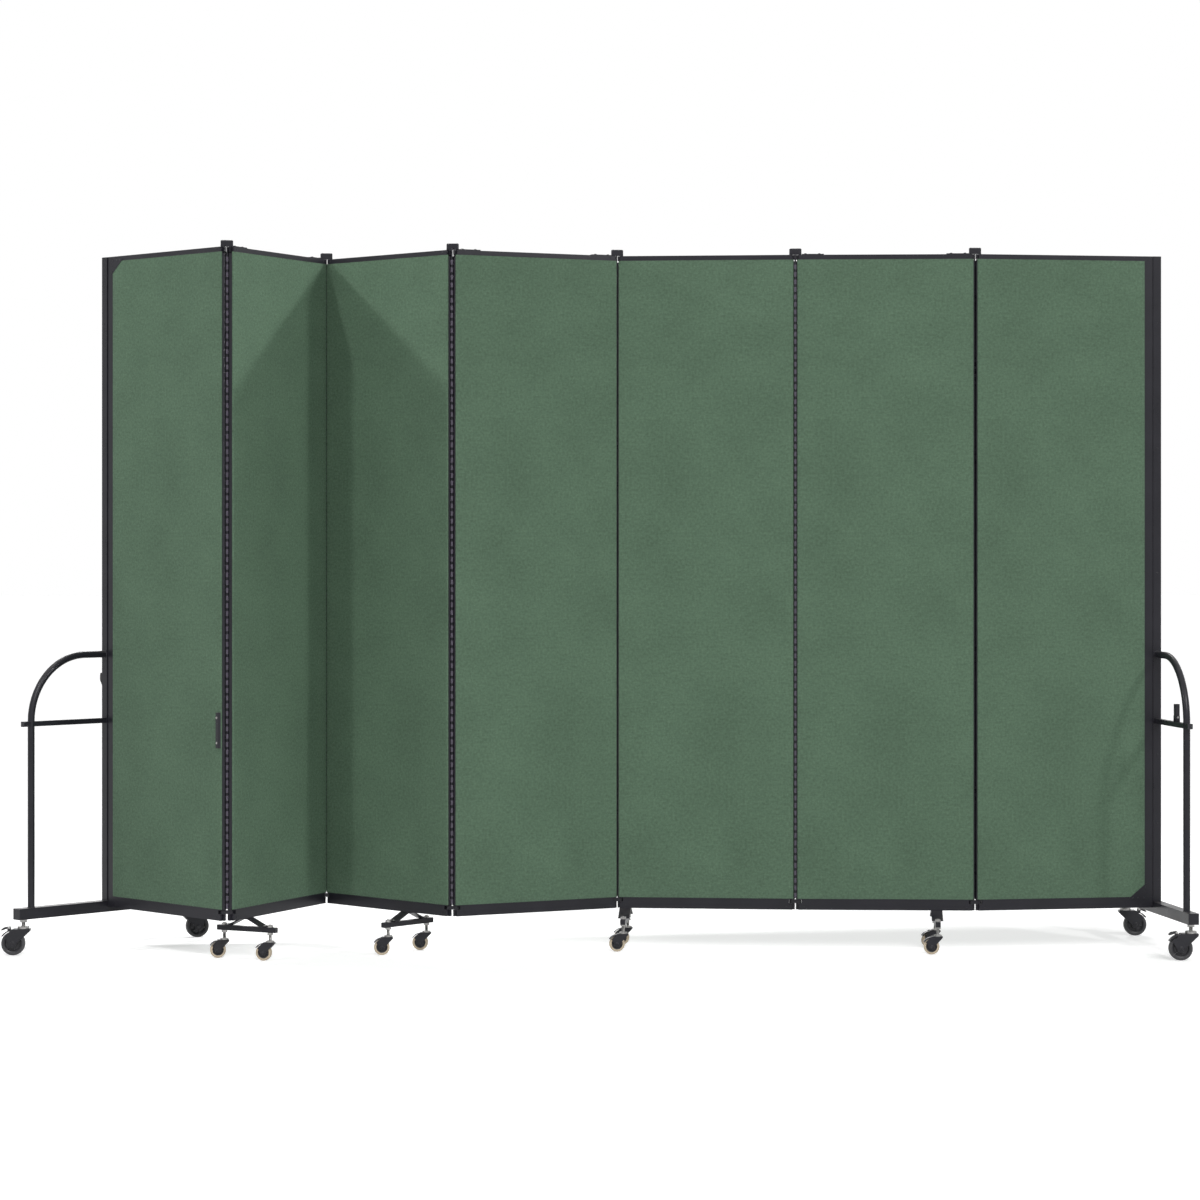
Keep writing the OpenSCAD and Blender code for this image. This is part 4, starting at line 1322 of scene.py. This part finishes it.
def side_light(name, place, strength, radius, aim=None):
    """A lamp as strong near by as far off, shining all round or as a wide cone at its aim."""
    data = bpy.data.lights.new(name, "SPOT" if aim else "POINT")
    data.energy = 4 * math.pi * strength
    data.shadow_soft_size = radius
    data.use_nodes = True
    n = Nodes(data.node_tree)
    glow = next(node for node in data.node_tree.nodes if node.type == "EMISSION")
    falloff = n.add("ShaderNodeLightFalloff")
    falloff.inputs["Strength"].default_value = 1.0
    n.link(falloff.outputs["Constant"], glow.inputs["Strength"])
    thing = bpy.data.objects.new(name, data)
    thing.location = place
    if aim:
        data.spot_size = math.radians(85.0)
        data.spot_blend = 0.7
        thing.rotation_euler = (Vector(aim) - place).to_track_quat("-Z", "Y").to_euler()
    bpy.context.scene.collection.objects.link(thing)


class PARTITION_OT_stage(bpy.types.Operator):
    """Lay the floor and set the lights and the camera"""

    bl_idname = "partition.stage"
    bl_label = "Stage"

    def execute(self, context):
        settings = values("partition_stage")
        self.floor()
        self.surroundings(settings)
        for name, azimuth, elevation in FAR_LIGHTS:
            far_light(name, azimuth, elevation, settings.key, settings.softness)
        for name, place, radius in SIDE_LAMPS:
            side_light(name, place, settings.sides, radius)
        valley = (pin("23", 2) + pin("23", 3)) / 2
        valley.z = CAP_LOW
        for name, azimuth, distance, panel in CEILING_LAMPS:
            side_light(name, valley + bearing(azimuth, CEILING_ELEVATION) * distance, settings.ceiling,
                       CEILING_RADIUS, PLACES[panel].point(SPAN / 2, 0.0, AIM_HEIGHT))
        self.camera(settings)
        context.scene.view_settings.view_transform = "Standard"
        return {"FINISHED"}

    def floor(self):
        mesh = bpy.data.meshes.new("floor")
        r = FLOOR_REACH
        mesh.from_pydata([(-r, -r, 0), (r, -r, 0), (r, r, 0), (-r, r, 0)], [], [(0, 1, 2, 3)])
        mesh.materials.append(floor_finish())
        thing = bpy.data.objects.new("floor", mesh)
        bpy.context.scene.collection.objects.link(thing)

    def surroundings(self, settings):
        world = bpy.data.worlds.new("Pale room")
        n = clear_nodes(world)
        strength = n.mix_value(seen_rays(n), settings.fill, 1.0)
        back = n.node("ShaderNodeBackground", {"Color": (1.0, 1.0, 1.0), "Strength": strength})
        n.link(back, n.add("ShaderNodeOutputWorld").inputs[0])
        bpy.context.scene.world = world

    def camera(self, settings):
        data = bpy.data.cameras.new("Camera")
        data.sensor_width = 36.0
        data.lens = settings.focal
        data.shift_y = settings.shift
        data.clip_end = 200.0
        thing = bpy.data.objects.new("Camera", data)
        thing.location = settings.place
        thing.rotation_euler = (math.radians(90.0), 0.0, settings.turn)
        bpy.context.scene.collection.objects.link(thing)
        bpy.context.scene.camera = thing


# ---- panel and registration


class PARTITION_PT_tools(bpy.types.Panel):
    """Buttons and values of the partition's finish"""

    bl_idname = "PARTITION_PT_tools"
    bl_label = "Partition"
    bl_space_type = "VIEW_3D"
    bl_region_type = "UI"
    bl_category = "Partition"

    def draw(self, context):
        layout = self.layout
        for owner, names in (
            ("partition_fabric", ("colour", "second", "spacing", "stand", "ease")),
            ("partition_frame", ("colour", "worn", "wear", "knuckle_pitch", "knuckle_share")),
            ("partition_caster", ("tread", "dark", "ribs")),
            ("partition_stage", ("focal", "place", "turn", "shift", "key", "sides", "ceiling", "softness",
                                 "fill")),
        ):
            box = layout.box()
            for name in names:
                box.prop(getattr(context.scene, owner), name)
        for operator in OPERATORS:
            layout.operator(operator.bl_idname)


OPERATORS = (
    PARTITION_OT_finishes, PARTITION_OT_fabric, PARTITION_OT_hinges, PARTITION_OT_rails,
    PARTITION_OT_ends, PARTITION_OT_casters, PARTITION_OT_stage,
)
GROUPS_OF_VALUES = (
    ("partition_fabric", FabricValues), ("partition_frame", FrameValues),
    ("partition_caster", CasterValues), ("partition_stage", StageValues),
)


def register():
    for name, kind in GROUPS_OF_VALUES:
        bpy.utils.register_class(kind)
        setattr(bpy.types.Scene, name, bpy.props.PointerProperty(type=kind))
    for kind in OPERATORS + (PARTITION_PT_tools,):
        bpy.utils.register_class(kind)


def unregister():
    for kind in (PARTITION_PT_tools,) + OPERATORS[::-1]:
        bpy.utils.unregister_class(kind)
    for name, kind in GROUPS_OF_VALUES[::-1]:
        delattr(bpy.types.Scene, name)
        bpy.utils.unregister_class(kind)


def main():
    register()
    bpy.ops.partition.finishes()
    bpy.ops.partition.fabric()
    bpy.ops.partition.hinges()
    bpy.ops.partition.rails()
    bpy.ops.partition.ends()
    bpy.ops.partition.casters()
    bpy.ops.partition.stage()


if __name__ == "__main__":
    main()
